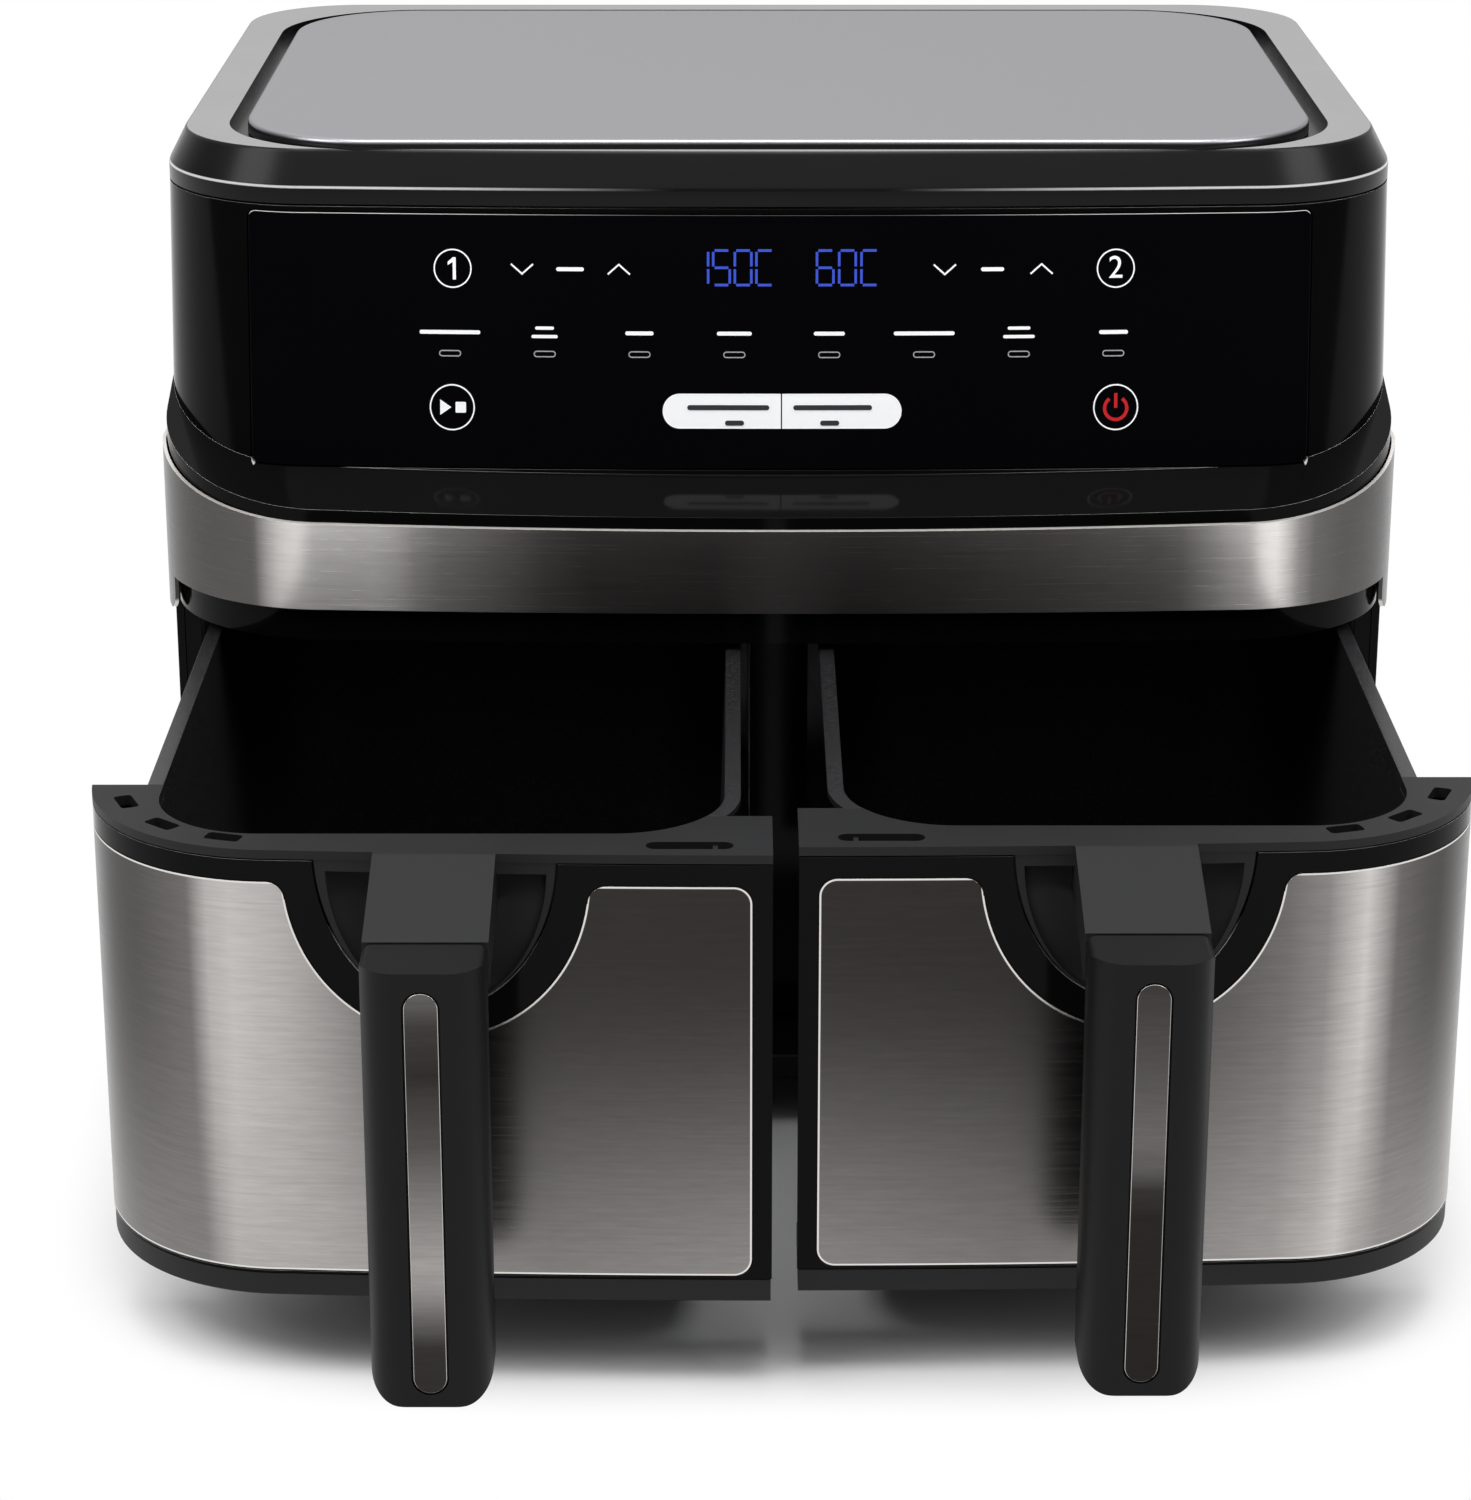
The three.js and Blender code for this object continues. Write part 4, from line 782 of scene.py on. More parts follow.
def figure_text(name, text, x, z, size, material):
    curve = bpy.data.curves.new(name, "FONT")
    curve.body = text
    curve.size = size
    curve.align_x = "CENTER"
    curve.align_y = "CENTER"
    curve.extrude = INK_DEPTH / 2
    letters = bpy.data.objects.new(name, curve)
    bpy.context.scene.collection.objects.link(letters)
    bpy.context.view_layer.update()
    mesh = bpy.data.meshes.new_from_object(letters.evaluated_get(bpy.context.evaluated_depsgraph_get()))
    bpy.data.objects.remove(letters)
    for vertex in mesh.vertices:
        px, pz, depth = vertex.co
        px, pz = px + x + PRINT_RIGHT, pz + z - PRINT_DOWN
        vertex.co = (px, panel_front(pz) + bow(px) - INK_LIFT - INK_DEPTH / 2 - depth, pz)
    mesh.transform(Matrix.Translation((0, FRONT_Y, 0)) @ Matrix.Scale(MM, 4))
    piece = bpy.data.objects.new(name, mesh)
    bpy.context.scene.collection.objects.link(piece)
    dress(piece, material)
    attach(piece, "housing")


figure_text("zone_number_right", "2", ZONE_X, ZONE_Z, 9.4, white_ink)

# ---------------------------------------------------------------- Top bezel
# A matte grey-black ring closes the body at the top: a short upright face painted darker as painted
# shade, a broad chamfer with a painted highlight line along its lower edge, a flat top painted lighter as
# a painted reflection, and a tray for the steel plate. It snaps into the housing and the shell.

BODY_TOP = cad_high.z / MM
BEZEL_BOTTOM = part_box("top_bezel")[0].z / MM
CHAMFER_BOTTOM = 292.5
CHAMFER_INSET = 7.2
BEZEL_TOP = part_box("top_bezel")[1].z / MM
plate_low, plate_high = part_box("top_plate")
PLATE_HALF = plate_high.x / MM
PLATE_FRONT = (plate_low.y - FRONT_Y) / MM
PLATE_BACK = (plate_high.y - FRONT_Y) / MM
PLATE_CORNER = 42
GROOVE_SIDE, GROOVE_FRONT, GROOVE_BACK = 4.8, 12.3, 3.2
BEZEL_FRONT = panel_front(BEZEL_BOTTOM) - SHELL_INSET


def bezel_surface(wire):
    clouds = wire.noise(30)
    upward = wire.facing(2)
    height = wire.axis(2)
    top = upward.step(0.93, 0.985) * height.step((BEZEL_TOP - 0.5) * MM, (BEZEL_TOP - 0.2) * MM)
    upright = 1 - height.step((CHAMFER_BOTTOM - 0.6) * MM, (CHAMFER_BOTTOM - 0.2) * MM)
    sideways = wire.math("ABSOLUTE", wire.axis(0)).step(0.03, 0.125)
    painted_highlight_line = 1 - wire.math("ABSOLUTE", height - CHAMFER_BOTTOM * MM).step(0.2 * MM, 0.5 * MM)
    outward = 1 - upward.step(0.5, 0.8)
    # Painted reflection on the flat top, painted highlight line at the chamfer's lower edge, stronger towards
    # the sides, and painted shade darkening the upright face.
    tone = (0.005 + top * 0.235 + painted_highlight_line * outward * sideways * 0.6) * (1 - upright * 0.75)
    tone = tone * (0.92 + clouds * 0.16)
    return {
        "Base Color": wire.add("ShaderNodeCombineColor", {}, {
            "Red": tone, "Green": tone, "Blue": tone * 1.02}),
        "Roughness": 0.24 + (clouds - 0.5) * 0.1,
        "Specular IOR Level": 0.2,
        "Normal": wire.bump(wire.noise(2400, detail=2.0), 0.10, 0.0001),
    }


bezel_plastic = finish("bezel_plastic", bezel_surface)
lower = body_plan(SHELL_INSET, BEZEL_FRONT, UPPER_CORNER)
floor_top = plate_low.z / MM - GAP
chamfer = BEZEL_TOP - CHAMFER_BOTTOM
levels = [at_height(lower, BEZEL_BOTTOM), at_height(lower, CHAMFER_BOTTOM - 0.5)]
for up in (0.08, 0.9, 0.97):
    inset = SHELL_INSET + (CHAMFER_INSET - SHELL_INSET) * up
    levels.append(at_height(body_plan(inset, BEZEL_FRONT, UPPER_CORNER), CHAMFER_BOTTOM + chamfer * up))
levels.append(at_height(body_plan(CHAMFER_INSET + 0.3, BEZEL_FRONT, UPPER_CORNER), BEZEL_TOP))
bezel = rings(levels)
tray = column(
    rounded(-PLATE_HALF - GROOVE_SIDE, PLATE_HALF + GROOVE_SIDE,
            PLATE_FRONT - GROOVE_FRONT, PLATE_BACK + GROOVE_BACK, PLATE_CORNER + GROOVE_SIDE, 24),
    floor_top, FAR)
underside = column(body_plan(SHELL_INSET + 5, BEZEL_FRONT, UPPER_CORNER), BEZEL_BOTTOM - 1, floor_top - 3)
bezel = cut(bezel, tray, underside)
fit("top_bezel_moulding", bezel, "housing", bezel_plastic, ["top_bezel"], edge=0.3)

# ---------------------------------------------------------------- Top plate
# A pressed plate of satin stainless steel with a rolled edge, dropped into the bezel's tray and
# stuck down. Its rubbed finish has no visible direction. Its colour carries painted shade, slightly
# darker towards the back and the right.


def satin(wire):
    cloth = wire.noise(4, detail=1.0)
    rubbed = wire.noise(1800, detail=2.0)
    # Painted shade: slightly darker towards the back and the right, in cloudy patches.
    shade = (wire.axis(0) * 1.6 + wire.axis(1) * 2.2 + (cloth - 0.5) * 0.5 + 0.35).step(0.0, 1.0)
    return {
        "Base Color": shade.between((0.388, 0.380, 0.402), (0.360, 0.352, 0.374)),
        "Metallic": 1.0,
        "Roughness": 0.32 + (rubbed - 0.5) * 0.12,
        "Normal": wire.bump(rubbed, 0.06, 0.00005),
    }


satin_steel = finish("satin_steel", satin)


def plate_outline(inset):
    return rounded(-PLATE_HALF + inset, PLATE_HALF - inset, PLATE_FRONT + inset, PLATE_BACK - inset,
                   PLATE_CORNER - inset, 28)


plate_bottom = plate_low.z / MM
rolled = 1.6
levels = [at_height(plate_outline(0), plate_bottom)]
for i in range(7):
    turn = math.radians(90 * i / 6)
    inset = rolled * (1 - math.cos(turn))
    levels.append(at_height(plate_outline(inset), BODY_TOP - rolled + rolled * math.sin(turn)))
plate = cut(rings(levels), column(plate_outline(1.2), plate_bottom - 1, BODY_TOP - 1.8))
fit("top_plate_pressing", plate, "housing", satin_steel, ["top_plate"], edge=0)

# ---------------------------------------------------------------- Chambers, heaters, fans and boards
# Behind the fronts each side has a folded liner of aluminised sheet, a slotted guard, a heater
# coil, a fan on its shaft and a motor on the deck above. These CAD parts keep their shape.


def sheet_metal_surface(wire):
    cells = wire.add("ShaderNodeTexVoronoi", {}, {"Vector": wire.place(), "Scale": 160.0}, 1)
    tint = wire.add("ShaderNodeSeparateColor", {}, {"Color": cells})
    return {
        "Base Color": tint.between((0.36, 0.37, 0.38), (0.50, 0.51, 0.52)),
        "Metallic": 1.0,
        "Roughness": 0.34 + tint * 0.16,
    }


def sooty_surface(wire):
    return {
        "Base Color": wire.noise(140).between((0.045, 0.042, 0.040), (0.11, 0.10, 0.095)),
        "Metallic": 0.9,
        "Roughness": 0.48 + wire.noise(600) * 0.12,
    }


def cast_surface(wire):
    return {
        "Base Color": wire.noise(90).between((0.46, 0.46, 0.47), (0.60, 0.60, 0.61)),
        "Metallic": 1.0,
        "Roughness": 0.36 + wire.noise(1500) * 0.14,
        "Normal": wire.bump(wire.noise(1800), 0.2, 0.0001),
    }


def board_surface(wire):
    tracks = wire.add("ShaderNodeTexBrick", {}, {
        "Vector": wire.place(), "Scale": 160.0, "Color1": (0.010, 0.055, 0.022, 1),
        "Color2": (0.014, 0.075, 0.030, 1), "Mortar": (0.08, 0.11, 0.04, 1), "Mortar Size": 0.05})
    return {"Base Color": tracks, "Roughness": 0.35 + wire.noise(300) * 0.1}


sheet_metal = finish("sheet_metal", sheet_metal_surface)
element_steel = finish("element_steel", sooty_surface)
cast_aluminium = finish("cast_aluminium", cast_surface)
circuit_board = finish("circuit_board", board_surface)
bakelite = finish("bakelite", moulded((0.014, 0.011, 0.009), (0.024, 0.020, 0.017), 0.4, 1200))
KEPT = {
    "motor_deck": (sheet_metal, "sheet_metal"),
    "display_module": (bakelite, "bakelite"),
    "control_board": (circuit_board, "circuit_board"),
    "power_board": (circuit_board, "circuit_board"),
}
for side, _ in SIDES:
    KEPT |= {
        f"{side}_chamber_liner": (sheet_metal, "sheet_metal"),
        f"{side}_exhaust_duct": (sheet_metal, "sheet_metal"),
        f"{side}_heater_guard": (satin_steel, "satin_steel"),
        f"{side}_heating_element": (element_steel, "element_steel"),
        f"{side}_fan_motor": (sheet_metal, "motor_steel"),
        f"{side}_fan_shaft": (cast_aluminium, "cast_aluminium"),
        f"{side}_convection_fan": (cast_aluminium, "cast_aluminium"),
        f"{side}_cooling_fan": (bakelite, "bakelite"),
        f"{side}_thermal_cutout": (bakelite, "bakelite"),
        f"{side}_drawer_sensor": (bakelite, "bakelite"),
    }
for node, (material, slot) in KEPT.items():
    dress(frame["nodes"][node], material)

# ---------------------------------------------------------------- Drawer carriers
# Each drawer's body is a matte moulding: a rim with vent slots, a box behind the front, a scoop
# for the fingers and the neck that carries the grip. The basket stands in it.

SLID = {j["name"].split("_")[0]: -j["range_m"][0] / MM for j in frame["joints"] if "drawer" in j["name"]}
DRAWER_INNER = 3.5
DRAWER_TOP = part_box("left_drawer_carrier")[1].z / MM
DRAWER_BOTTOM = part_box("left_drawer_carrier")[0].z / MM
RIM = 3
RIM_FACE = 2.5
WRAP = CORNER
INNER_END = 30
FRAME_WALL = 2.5
FRAME_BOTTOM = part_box("left_front_frame")[0].z / MM
HANDLE_X = 93.7
RECESS_HALF = 33
RECESS_DEPTH = 45
SCOOP = 9
CARRIER_WALL = 3
BASKET_X0, BASKET_X1 = 16.5, 172.5
BASKET_Y0, BASKET_Y1 = 16.5, 268.5
BASKET_CORNER = 30
BASKET_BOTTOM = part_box("left_basket")[0].z / MM
BASKET_WALL = 1.2
BASKET_TAPER = 0.955
NECK_HALF = 16.4
NECK_LENGTH = 36.5
NECK_DROP = 10
NECK_THICKNESS = 13
corner_x = HALF_WIDTH - CORNER
corner_y = bow(corner_x) + CORNER


def mirrored(outline, sign):
    return [(sign * x, y) for x, y in outline]


def drawer_plan(inset, back, trimmed=False):
    radius = CORNER - inset
    end = -math.degrees(math.asin((corner_y - WRAP) / radius))
    inner = DRAWER_INNER if trimmed else DRAWER_INNER + inset
    plan = (bow_points(DRAWER_INNER + inset, corner_x, inset, 24)
            + arc(corner_x, corner_y, radius, radius, -90, end, 30)[1:]
            + [(corner_x, WRAP), (corner_x, back), (DRAWER_INNER + inset, back)])
    plan[0] = (inner, plan[0][1])
    plan[-1] = (inner, plan[-1][1])
    return plan


def drawer_region(sign, inset, z0, z1):
    return column(mirrored(drawer_plan(inset, INNER_END), sign), z0, z1)


def drawer_skin(sign, outer, inner, z0, z1):
    return cut(column(mirrored(drawer_plan(outer, INNER_END, True), sign), z0, z1),
               column(mirrored(drawer_plan(inner, INNER_END, True), sign), z0 - 1, z1 + 1))


def u_shape(sign, half, top, depth):
    x = sign * HANDLE_X
    return [(x - half, top + 20)] + arc(x, top, half, depth, 180, 360, 56) + [(x + half, top + 20)]


def basket_outline(sign, grow, z=DRAWER_TOP, steps=18):
    scale = 1 - (1 - BASKET_TAPER) * (DRAWER_TOP - z) / (DRAWER_TOP - BASKET_BOTTOM)
    centre_x, centre_y = sign * (BASKET_X0 + BASKET_X1) / 2, (BASKET_Y0 + BASKET_Y1) / 2
    half_x, half_y = (BASKET_X1 - BASKET_X0) / 2 + grow, (BASKET_Y1 - BASKET_Y0) / 2 + grow
    points = rounded(-half_x, half_x, -half_y, half_y, BASKET_CORNER + grow, steps)
    return [(centre_x + x * scale, centre_y + y * scale) for x, y in points]


def vent_slots(sign):
    z0, z1 = DRAWER_TOP - RIM - 1, DRAWER_TOP + 1
    radius = CORNER - 8
    tools = []
    for angle in (-22, -48, -73):
        turn = math.radians(angle)
        outline = [
            (corner_x + x * math.cos(turn) - y * math.sin(turn),
             corner_y + x * math.sin(turn) + y * math.cos(turn))
            for x, y in rounded(radius - 2.5, radius + 2.5, -5, 5, 1.2, 5)]
        tools.append(column(mirrored(outline, sign), z0, z1))
    tools.append(column(mirrored(rounded(14, 37.5, 4.8, 10.2, 2.6, 8), sign), z0, z1))
    return tools


def carrier(sign):
    seat = FRAME_WALL + GAP
    x = sign * HANDLE_X
    under = DRAWER_TOP - RIM
    dip = bow(HANDLE_X)
    boss = common(drawer_region(sign, 0.3, DRAWER_BOTTOM, DRAWER_TOP),
                  through_depth(u_shape(sign, RECESS_HALF - 0.6, DRAWER_TOP, RECESS_DEPTH - 0.6), -5, FAR))
    shell = join(drawer_region(sign, seat, DRAWER_BOTTOM, DRAWER_TOP),
                 drawer_region(sign, 0, DRAWER_TOP - RIM_FACE, DRAWER_TOP),
                 drawer_region(sign, 0.3, DRAWER_BOTTOM, FRAME_BOTTOM - GAP), boss)
    backing = common(through_depth(u_shape(sign, RECESS_HALF + 3, DRAWER_TOP, RECESS_DEPTH + 3), -5, FAR),
                     block(-FAR, FAR, -5, dip + SCOOP + 4, 0, FAR))
    hollow = cut(drawer_region(sign, seat + CARRIER_WALL, DRAWER_BOTTOM + CARRIER_WALL, under), backing,
                 block(-FAR, FAR, WRAP - CARRIER_WALL, FAR, 0, FAR))
    scoop_levels = []
    for i in range(1, 24):
        turn = math.radians(-90 + 90 * i / 23.5)
        reach = math.cos(turn)
        z = under - 1.5 + (RECESS_DEPTH - 5) * math.sin(turn)
        scoop_plan = arc(x, dip, (RECESS_HALF - 3) * reach, SCOOP * reach, 0, 360, 48)[1:]
        scoop_levels.append(at_height(scoop_plan, z))
    scoop = common(rings(scoop_levels), block(-FAR, FAR, -FAR, FAR, 0, under - 1))
    neck = across_width([
        (dip + 6, DRAWER_TOP), (0, DRAWER_TOP), (-NECK_LENGTH, DRAWER_TOP - NECK_DROP),
        (-NECK_LENGTH, DRAWER_TOP - NECK_DROP - NECK_THICKNESS), (0, DRAWER_TOP - NECK_THICKNESS - 3),
        (dip + 12, DRAWER_TOP - NECK_THICKNESS - 3), (dip + 12, DRAWER_TOP - 2)],
        x - NECK_HALF, x + NECK_HALF)
    open_top = column(basket_outline(sign, 0), under - 0.01, DRAWER_TOP + 5)
    room_plans = [basket_outline(sign, BASKET_WALL + GAP, z) for z in (BASKET_BOTTOM - 15, under)]
    room = loft(room_plans[0], DRAWER_BOTTOM - 3, room_plans[1], under)
    rib = block(sign * 18.2, sign * 19.6, 4.5, 10.5, under + 0.5, DRAWER_TOP - 1)
    return join(cut(join(cut(shell, hollow, scoop), neck), open_top, room, *vent_slots(sign)), rib)


carriers = {}
for side, sign in SIDES:
    carriers[side] = fit(
        f"{side}_carrier_moulding", carrier(sign), f"{side}_drawer", matte_plastic,
        [f"{side}_drawer_carrier"], SLID[side], edge=0.5, segments=3)

# ---------------------------------------------------------------- Front frames and steel skins
# A gloss black frame clips over each carrier. The skin pressed into it is thin brushed steel with
# painted reflections across it, a painted highlight on its bevelled edges and a round notch under the
# rim that leaves room for the hand.

STEEL_THICKNESS = 0.8
STEEL_POCKET = 1.2
STEEL_INNER = 9
STEEL_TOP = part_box("left_front_steel")[1].z / MM
STEEL_CORNER = 5
NOTCH_HALF = 41
NOTCH_DEPTH = 46


def steel_prism(sign, margin):
    inner = STEEL_INNER - margin
    low, high = FRAME_BOTTOM + 1 - margin, STEEL_TOP + margin
    corner = STEEL_CORNER + margin
    outline = ([(FAR, low), (FAR, high), (inner + corner, high)]
               + arc(inner + corner, high - corner, corner, corner, 90, 180, 12)[1:]
               + arc(inner + corner, low + corner, corner, corner, 180, 270, 12))
    face = through_depth(mirrored(outline, sign), -FAR, WRAP - 1 + margin)
    notch = u_shape(sign, NOTCH_HALF - margin, STEEL_TOP + 2, NOTCH_DEPTH - margin)
    tools = [through_depth(notch, -FAR, FAR)]
    for turn in (-1, 1):
        edge = sign * HANDLE_X + turn * (NOTCH_HALF - 0.3 - margin)
        centre = edge + turn * corner
        left, right = sorted((edge - turn, centre))
        shoulder = through_depth(rect(left, right, high - corner, high + 1), -FAR, FAR)
        tools.append(cut(shoulder, through_depth(circle(centre, high - corner, corner, 48), -FAR, FAR)))
    return cut(face, *tools)


# Painted reflection levels across each skin, from its inner edge outward, for its upper and its lower part.
HIGH_LEFT = ((0.0, 0.034), (0.36, 0.036), (0.52, 0.10), (0.64, 0.35), (0.70, 0.46), (0.765, 0.54),
             (0.80, 0.46), (0.83, 0.16), (0.89, 0.105), (0.96, 0.035))
LOW_LEFT = ((0.0, 0.26), (0.30, 0.215), (0.45, 0.28), (0.64, 0.40), (0.70, 0.42), (0.775, 0.44), (0.82, 0.22),
            (0.90, 0.22), (1.0, 0.17))
HIGH_RIGHT = ((0.0, 0.034), (0.35, 0.030), (0.50, 0.06), (0.62, 0.115), (0.69, 0.16), (0.75, 0.25),
              (0.81, 0.60), (0.86, 0.15), (0.93, 0.05), (1.0, 0.045))
LOW_RIGHT = ((0.0, 0.235), (0.30, 0.185), (0.45, 0.22), (0.62, 0.30), (0.69, 0.34), (0.75, 0.46),
             (0.785, 0.56), (0.81, 0.40), (0.86, 0.29), (1.0, 0.27))


def front_shade(sign, high_stops, low_stops):
    """Painted reflections in light and dark zones across a front skin, mixed from stops for its upper and its
    lower part.
    """
    def shade(wire):
        outward = (wire.axis(0) * sign - STEEL_INNER * MM) * (1 / ((HALF_WIDTH - STEEL_INNER) * MM))
        low = wire.axis(2).step(0.150, 0.020, 0.0, 1.0) ** 1.8
        return outward.level(high_stops) * (1 - low) + outward.level(low_stops) * low
    return shade


def front_highlight_mask(sign):
    # The painted highlight runs round the skin's border, the edge of its notch and its bevels.
    def rim(wire):
        high, low = (STEEL_TOP - STEEL_CORNER) * MM, (FRAME_BOTTOM + 1 + STEEL_CORNER) * MM
        across = wire.math("MAXIMUM", (STEEL_INNER + STEEL_CORNER) * MM - wire.axis(0) * sign, 0.0)
        beyond = wire.math("MAXIMUM", wire.axis(2) - high, low - wire.axis(2))
        beyond = wire.math("MAXIMUM", beyond, 0.0)
        reach = (across * across + beyond * beyond) ** 0.5
        border = reach.step((STEEL_CORNER - 0.60) * MM, (STEEL_CORNER - 0.44) * MM)
        sideways = (wire.axis(0) - sign * HANDLE_X * MM) * (1 / (NOTCH_HALF * MM))
        down = (wire.axis(2) - (STEEL_TOP + 2) * MM) * (1 / (NOTCH_DEPTH * MM))
        notch = 1 - ((sideways * sideways + down * down) ** 0.5).step(1.010, 1.015)
        edges = wire.math("MAXIMUM", border, notch)
        return wire.math("MAXIMUM", edges, painted_bevel_highlight(wire))
    return rim


front_steel = {
    "left": finish("left_front_steel", brushed(front_shade(-1, HIGH_LEFT, LOW_LEFT), front_highlight_mask(-1))),
    "right": finish("right_front_steel", brushed(front_shade(1, HIGH_RIGHT, LOW_RIGHT), front_highlight_mask(1))),
}
for side, sign in SIDES:
    pocket = common(drawer_skin(sign, -1, STEEL_POCKET, FRAME_BOTTOM - 1, DRAWER_TOP),
                    steel_prism(sign, 0.35))
    recess = through_depth(u_shape(sign, RECESS_HALF, DRAWER_TOP, RECESS_DEPTH), -FAR, FAR)
    surround = cut(drawer_skin(sign, 0, FRAME_WALL, FRAME_BOTTOM, DRAWER_TOP - RIM_FACE - GAP),
                   pocket, recess)
    fit(f"{side}_front_surround", surround, f"{side}_drawer", gloss_plastic,
        [f"{side}_front_frame"], SLID[side], edge=0.35)
    skin = common(drawer_skin(sign, 0, STEEL_THICKNESS, FRAME_BOTTOM - 1, DRAWER_TOP), steel_prism(sign, 0))
    fit(f"{side}_front_skin", skin, f"{side}_drawer", front_steel[side],
        [f"{side}_front_steel"], SLID[side], edge=0.35)

# ---------------------------------------------------------------- Handle grips and inlays
# Each grip is a hollow moulding screwed up under the neck, softly rounded at its front. A long
# brushed steel pill is set into its face, with a painted highlight on its rim and painted reflections up it.

GRIP_HALF = 16.25
GRIP_REACH = 57
grip_low, grip_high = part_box("left_handle_grip")
GRIP_BOTTOM = grip_low.z / MM
GRIP_TOP = grip_high.z / MM
GRIP_BACK_Y = -NECK_LENGTH - GAP
INLAY_HALF = 4.5
INLAY_BOTTOM, INLAY_TOP = 28, 142
INLAY_THICKNESS = 1

grip_plastic = finish(
    "grip_plastic", moulded((0.0050, 0.0051, 0.0053), (0.0072, 0.0073, 0.0075), 0.42, gloss=0.14))


# Painted reflection levels up each inlay, from its bottom to its top.
PAINTED_INLAY_REFLECTIONS = {
    "left": ((0.0, 0.03), (0.12, 0.035), (0.19, 0.13), (0.27, 0.30), (0.33, 0.34), (0.50, 0.19), (0.62, 0.09),
             (0.80, 0.03), (0.92, 0.05), (1.0, 0.13)),
    "right": ((0.0, 0.02), (0.42, 0.022), (0.49, 0.035), (0.545, 0.11), (0.62, 0.14), (0.80, 0.085),
              (1.0, 0.045)),
}


def inlay_surface(stops):
    # Painted reflections by height, and a painted highlight on the sides and bevels.
    def shade(wire):
        return ((wire.axis(2) - INLAY_BOTTOM * MM) * (1 / ((INLAY_TOP - INLAY_BOTTOM) * MM))).level(stops)

    def rim(wire):
        sideways = wire.math("ABSOLUTE", wire.facing(0)).step(0.2, 0.5)
        return wire.math("MAXIMUM", sideways, painted_bevel_highlight(wire)) * 0.85
    return brushed(shade, rim)


inlay_steel = {
    side: finish(f"{side}_inlay_steel", inlay_surface(stops)) for side, stops in PAINTED_INLAY_REFLECTIONS.items()}


def inlay_outline(x, margin):
    return rounded(x - INLAY_HALF - margin, x + INLAY_HALF + margin,
                   INLAY_BOTTOM - margin, INLAY_TOP + margin, INLAY_HALF + margin - 0.01, 16)


for side, sign in SIDES:
    x = sign * HANDLE_X
    plan = (arc(x + GRIP_HALF - 10, -GRIP_REACH + 10, 10, 10, -90, 0, 20)
            + arc(x + GRIP_HALF - 3, GRIP_BACK_Y - 3, 3, 3, 0, 90, 8)
            + arc(x - GRIP_HALF + 3, GRIP_BACK_Y - 3, 3, 3, 90, 180, 8)
            + arc(x - GRIP_HALF + 10, -GRIP_REACH + 10, 10, 10, 180, 270, 20))
    face = (arc(x + GRIP_HALF - 8, GRIP_BOTTOM + 8, 8, 8, -90, 0, 16)
            + arc(x + GRIP_HALF - 2, GRIP_TOP - 2, 2, 2, 0, 90, 6)
            + arc(x - GRIP_HALF + 2, GRIP_TOP - 2, 2, 2, 90, 180, 6)
            + arc(x - GRIP_HALF + 8, GRIP_BOTTOM + 8, 8, 8, 180, 270, 16))
    grip = common(column(plan, GRIP_BOTTOM, GRIP_TOP), through_depth(face, -FAR, FAR))
    inlay_seat = -GRIP_REACH + INLAY_THICKNESS + GAP
    grip = cut(grip, through_depth(inlay_outline(x, GAP), -GRIP_REACH - 1, inlay_seat))
    fit(f"{side}_grip_moulding", grip, f"{side}_drawer", grip_plastic,
        [f"{side}_handle_grip"], SLID[side], edge=1.5, segments=4)
    inlay = through_depth(inlay_outline(x, 0), -GRIP_REACH, -GRIP_REACH + INLAY_THICKNESS)
    fit(f"{side}_grip_inlay", inlay, f"{side}_drawer", inlay_steel[side],
        [f"{side}_handle_inlay"], SLID[side], edge=0.4, segments=3)

# ---------------------------------------------------------------- Baskets
# Deep drawn steel pans with a dark grey non-stick coating and a turned-out rim that rests on the
# runners. The floor meets the walls in a generous radius.

FLANGE = 4.5
FLANGE_THICKNESS = 1.8
FLOOR_RADIUS = 9


def coated(wire):
    specks = wire.noise(1500, detail=2.0)
    return {
        "Base Color": specks.step(0.35, 0.75).between((0.012, 0.012, 0.013), (0.036, 0.036, 0.039)),
        "Metallic": 0.25,
        "Roughness": 0.34 + (specks - 0.5) * 0.16,
        "Normal": wire.bump(specks, 0.12, 0.00008),
    }


non_stick = finish("non_stick", coated)


def bowl(sign, grow, floor, top, steps=7):
    """Rings of a pan's side from its floor to its top, with a round turn at the floor."""
    levels = []
    for i in range(steps + 1):
        turn = math.radians(90 * i / steps)
        inset = FLOOR_RADIUS * (1 - math.sin(turn))
        z = floor + FLOOR_RADIUS * (1 - math.cos(turn))
        levels.append(at_height(basket_outline(sign, grow - inset, z), z))
    levels.append(at_height(basket_outline(sign, grow, top), top))
    return levels


for side, sign in SIDES:
    pan = join(rings(bowl(sign, BASKET_WALL, BASKET_BOTTOM, DRAWER_TOP)),
               column(basket_outline(sign, FLANGE), DRAWER_TOP - FLANGE_THICKNESS, DRAWER_TOP))
    pan = cut(pan, rings(bowl(sign, 0, BASKET_BOTTOM + 1.5, DRAWER_TOP + 5)),
              drawer_region(sign, -GAP, DRAWER_TOP - RIM - GAP, DRAWER_TOP + 1))
    fit(f"{side}_basket_pan", pan, f"{side}_drawer", non_stick, [f"{side}_basket"],
        SLID[side], edge=0.4)

# ---------------------------------------------------------------- Crisper plates and bumpers
# A coated plate with rows of long slots stands on four short legs in each basket, with a lifting
# eye in its middle. Silicone bumpers on its edges keep it off the coating.

SKIRT = 6
CRISPER_CLEARANCE = 2.6
CRISPER_Z = BASKET_BOTTOM + 1.5 + 14
CRISPER_THICKNESS = 1.6
SLOT_RANKS, SLOT_ROWS = 4, 8
SLOT_LENGTH, SLOT_WIDTH = 22, 7

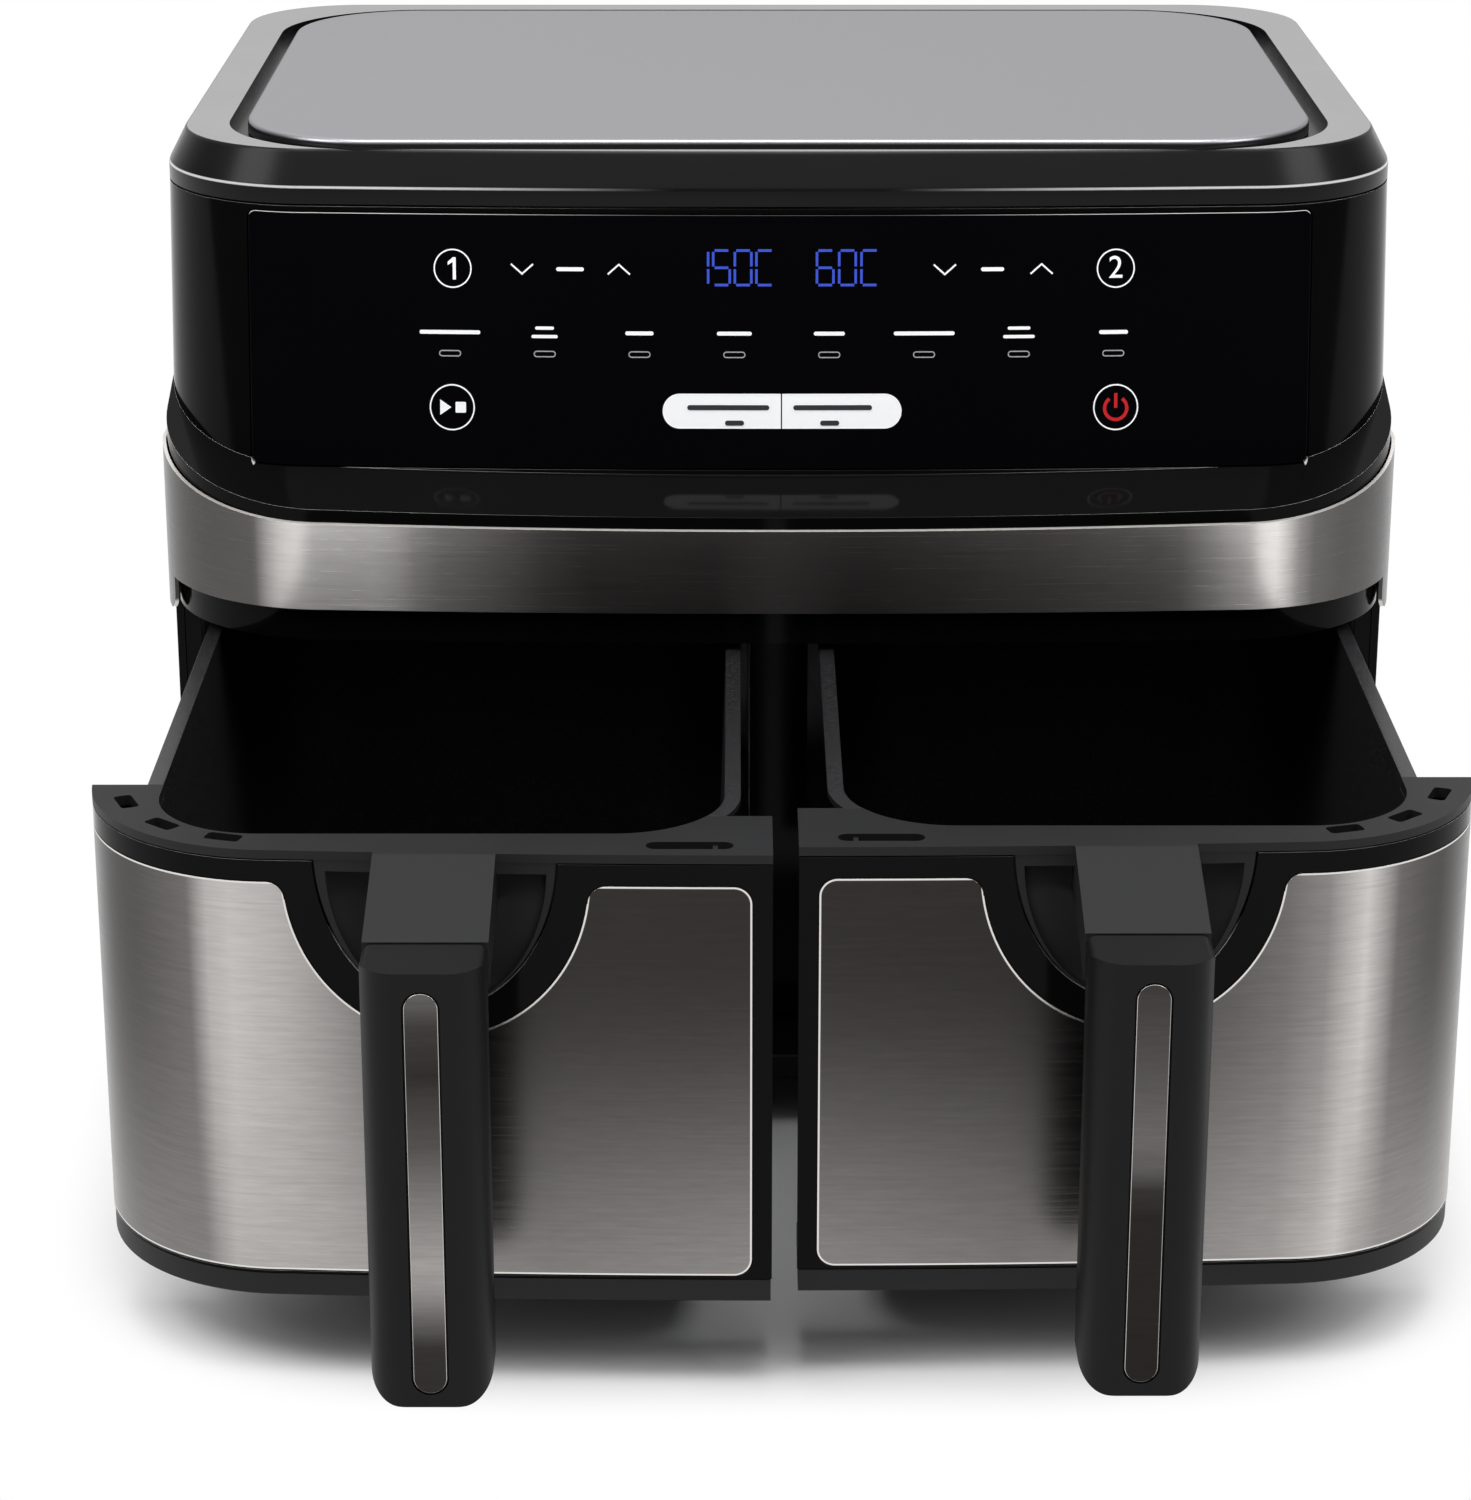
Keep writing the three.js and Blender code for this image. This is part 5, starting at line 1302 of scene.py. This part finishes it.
silicone = finish("silicone", moulded((0.035, 0.035, 0.037), (0.050, 0.050, 0.053), 0.6, 900))
for side, sign in SIDES:
    low_z = CRISPER_Z - SKIRT
    outer = basket_outline(sign, -CRISPER_CLEARANCE, low_z)
    inner = basket_outline(sign, -CRISPER_CLEARANCE - 1.5, low_z)
    top = CRISPER_Z + CRISPER_THICKNESS
    x = sign * (BASKET_X0 + BASKET_X1) / 2
    y = (BASKET_Y0 + BASKET_Y1) / 2
    pitch_x = (BASKET_X1 - BASKET_X0 - 28) / SLOT_RANKS
    pitch_y = (BASKET_Y1 - BASKET_Y0 - 44) / SLOT_ROWS
    tools = [column(inner, low_z - 30, CRISPER_Z)]
    for row in range(SLOT_ROWS):
        for rank in range(SLOT_RANKS):
            sx = x + (rank - (SLOT_RANKS - 1) / 2) * pitch_x
            sy = y + (row - (SLOT_ROWS - 1) / 2) * pitch_y
            outline = rounded(sx - SLOT_LENGTH / 2, sx + SLOT_LENGTH / 2, sy - SLOT_WIDTH / 2,
                              sy + SLOT_WIDTH / 2, SLOT_WIDTH / 2 - 0.01, 8)
            tools.append(column(outline, CRISPER_Z - 1, top + 1))
    leg_x, leg_y = (BASKET_X1 - BASKET_X0) / 2 - 26, (BASKET_Y1 - BASKET_Y0) / 2 - 30
    legs = [column(circle(x + i * leg_x, y + j * leg_y, 3.5, 24), BASKET_BOTTOM + 1.9, CRISPER_Z + 0.5)
            for i in (-1, 1) for j in (-1, 1)]
    knob = column(circle(x, y, 9), CRISPER_Z, top + 2.5)
    crisper = join(cut(column(outer, low_z, top), *tools), knob, *legs)
    crisper = cut(crisper, column(circle(x, y, 5), CRISPER_Z - 2, top + 4))
    fit(f"{side}_crisper_pressing", crisper, f"{side}_plate", non_stick,
        [f"{side}_crisper_plate"], SLID[side], edge=0.4)
    for edge in ("front", "rear", "inner", "outer"):
        node = f"{side}_bumper_{edge}"
        low, high = (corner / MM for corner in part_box(node))
        shift = FRONT_Y / MM - SLID[side]
        bumper = block(low.x, high.x, low.y - shift, high.y - shift, low.z, high.z)
        fit(f"{node}_pad", bumper, f"{side}_plate", silicone, [node], SLID[side],
            edge=0.5, segments=3)

# ---------------------------------------------------------------- Floor, light and camera
# A white table top under broad soft lamps. The table shows white to the camera and in metal, and
# keeps the shadow of the object.

FLOOR_SIZE = 60
floor_mesh = bpy.data.meshes.new("table_top")
half = FLOOR_SIZE / 2
corners = [(-half, -half, 0), (half, -half, 0), (half, half, 0), (-half, half, 0)]
floor_mesh.from_pydata(corners, [], [(0, 1, 2, 3)])
floor = bpy.data.objects.new("table_top", floor_mesh)
bpy.context.scene.collection.objects.link(floor)

table = bpy.data.materials.new("table_white")
table.use_nodes = True
table.node_tree.nodes.clear()
wire = Wire(table.node_tree)
paint = wire.add("ShaderNodeBsdfPrincipled", {}, {
    "Base Color": wire.noise(30).between((0.90, 0.90, 0.90), (0.92, 0.92, 0.92)), "Roughness": 0.8,
    "Specular IOR Level": 0.1})
glow = wire.add("ShaderNodeEmission", {}, {"Color": (1, 1, 1, 1), "Strength": 1.0})
rays = wire.add("ShaderNodeLightPath")
seen = rays
for kind in ("Is Glossy Ray", "Is Transmission Ray"):
    seen = wire.math("MAXIMUM", seen, Wire(wire.tree, rays.socket.node.outputs[kind]))
x_part, y_part = (wire.axis(0) * 4.25) ** 4, (wire.axis(1) * 4.0) ** 4
distance = (x_part + y_part) ** 0.25
mixed = wire.add("ShaderNodeMixShader", {}, {0: seen * distance.step(0.83, 0.96), 1: paint, 2: glow})
wire.add("ShaderNodeOutputMaterial", {}, {"Surface": mixed})
floor.data.materials.append(table)

world = bpy.data.worlds.new("studio")
bpy.context.scene.world = world
world.use_nodes = True
world.node_tree.nodes.clear()
wire = Wire(world.node_tree)
up, along = (wire.axis(i, output=0) for i in (2, 1))
level = 0.05 + up.step(0.15, 0.95) * 0.85 + along.step(0.2, 0.9) * 0.6
sky = wire.add("ShaderNodeBackground", {}, {"Color": (1, 1, 1, 1), "Strength": level})
wire.add("ShaderNodeOutputWorld", {}, {"Surface": sky})


def lamp(name, place, target, width, height, watts):
    light = bpy.data.lights.new(name, "AREA")
    light.shape = "RECTANGLE"
    light.size = width
    light.size_y = height
    light.energy = watts
    holder = bpy.data.objects.new(name, light)
    bpy.context.scene.collection.objects.link(holder)
    holder.location = place
    holder.rotation_euler = (Vector(target) - Vector(place)).to_track_quat("-Z", "Y").to_euler()


lamp("overhead", (0.0, -0.25, 1.8), (0, -0.1, 0.1), 1.2, 1.0, 18)
lamp("left_softbox", (-1.3, -0.7, 1.4), (0, -0.1, 0.15), 0.8, 1.0, 9)
lamp("right_softbox", (1.3, -0.7, 1.4), (0, -0.1, 0.15), 0.8, 1.0, 9)

CAMERA_PITCH = 70.44
camera = bpy.data.objects.new("camera", bpy.data.cameras.new("camera"))
bpy.context.scene.collection.objects.link(camera)
camera.location = (-0.0135, -1.2542, 0.5555)
camera.rotation_euler = (math.radians(CAMERA_PITCH), 0, 0)
camera.data.sensor_width = 36
camera.data.lens = 100.2
bpy.context.scene.camera = camera
bpy.context.scene.view_settings.view_transform = "Standard"
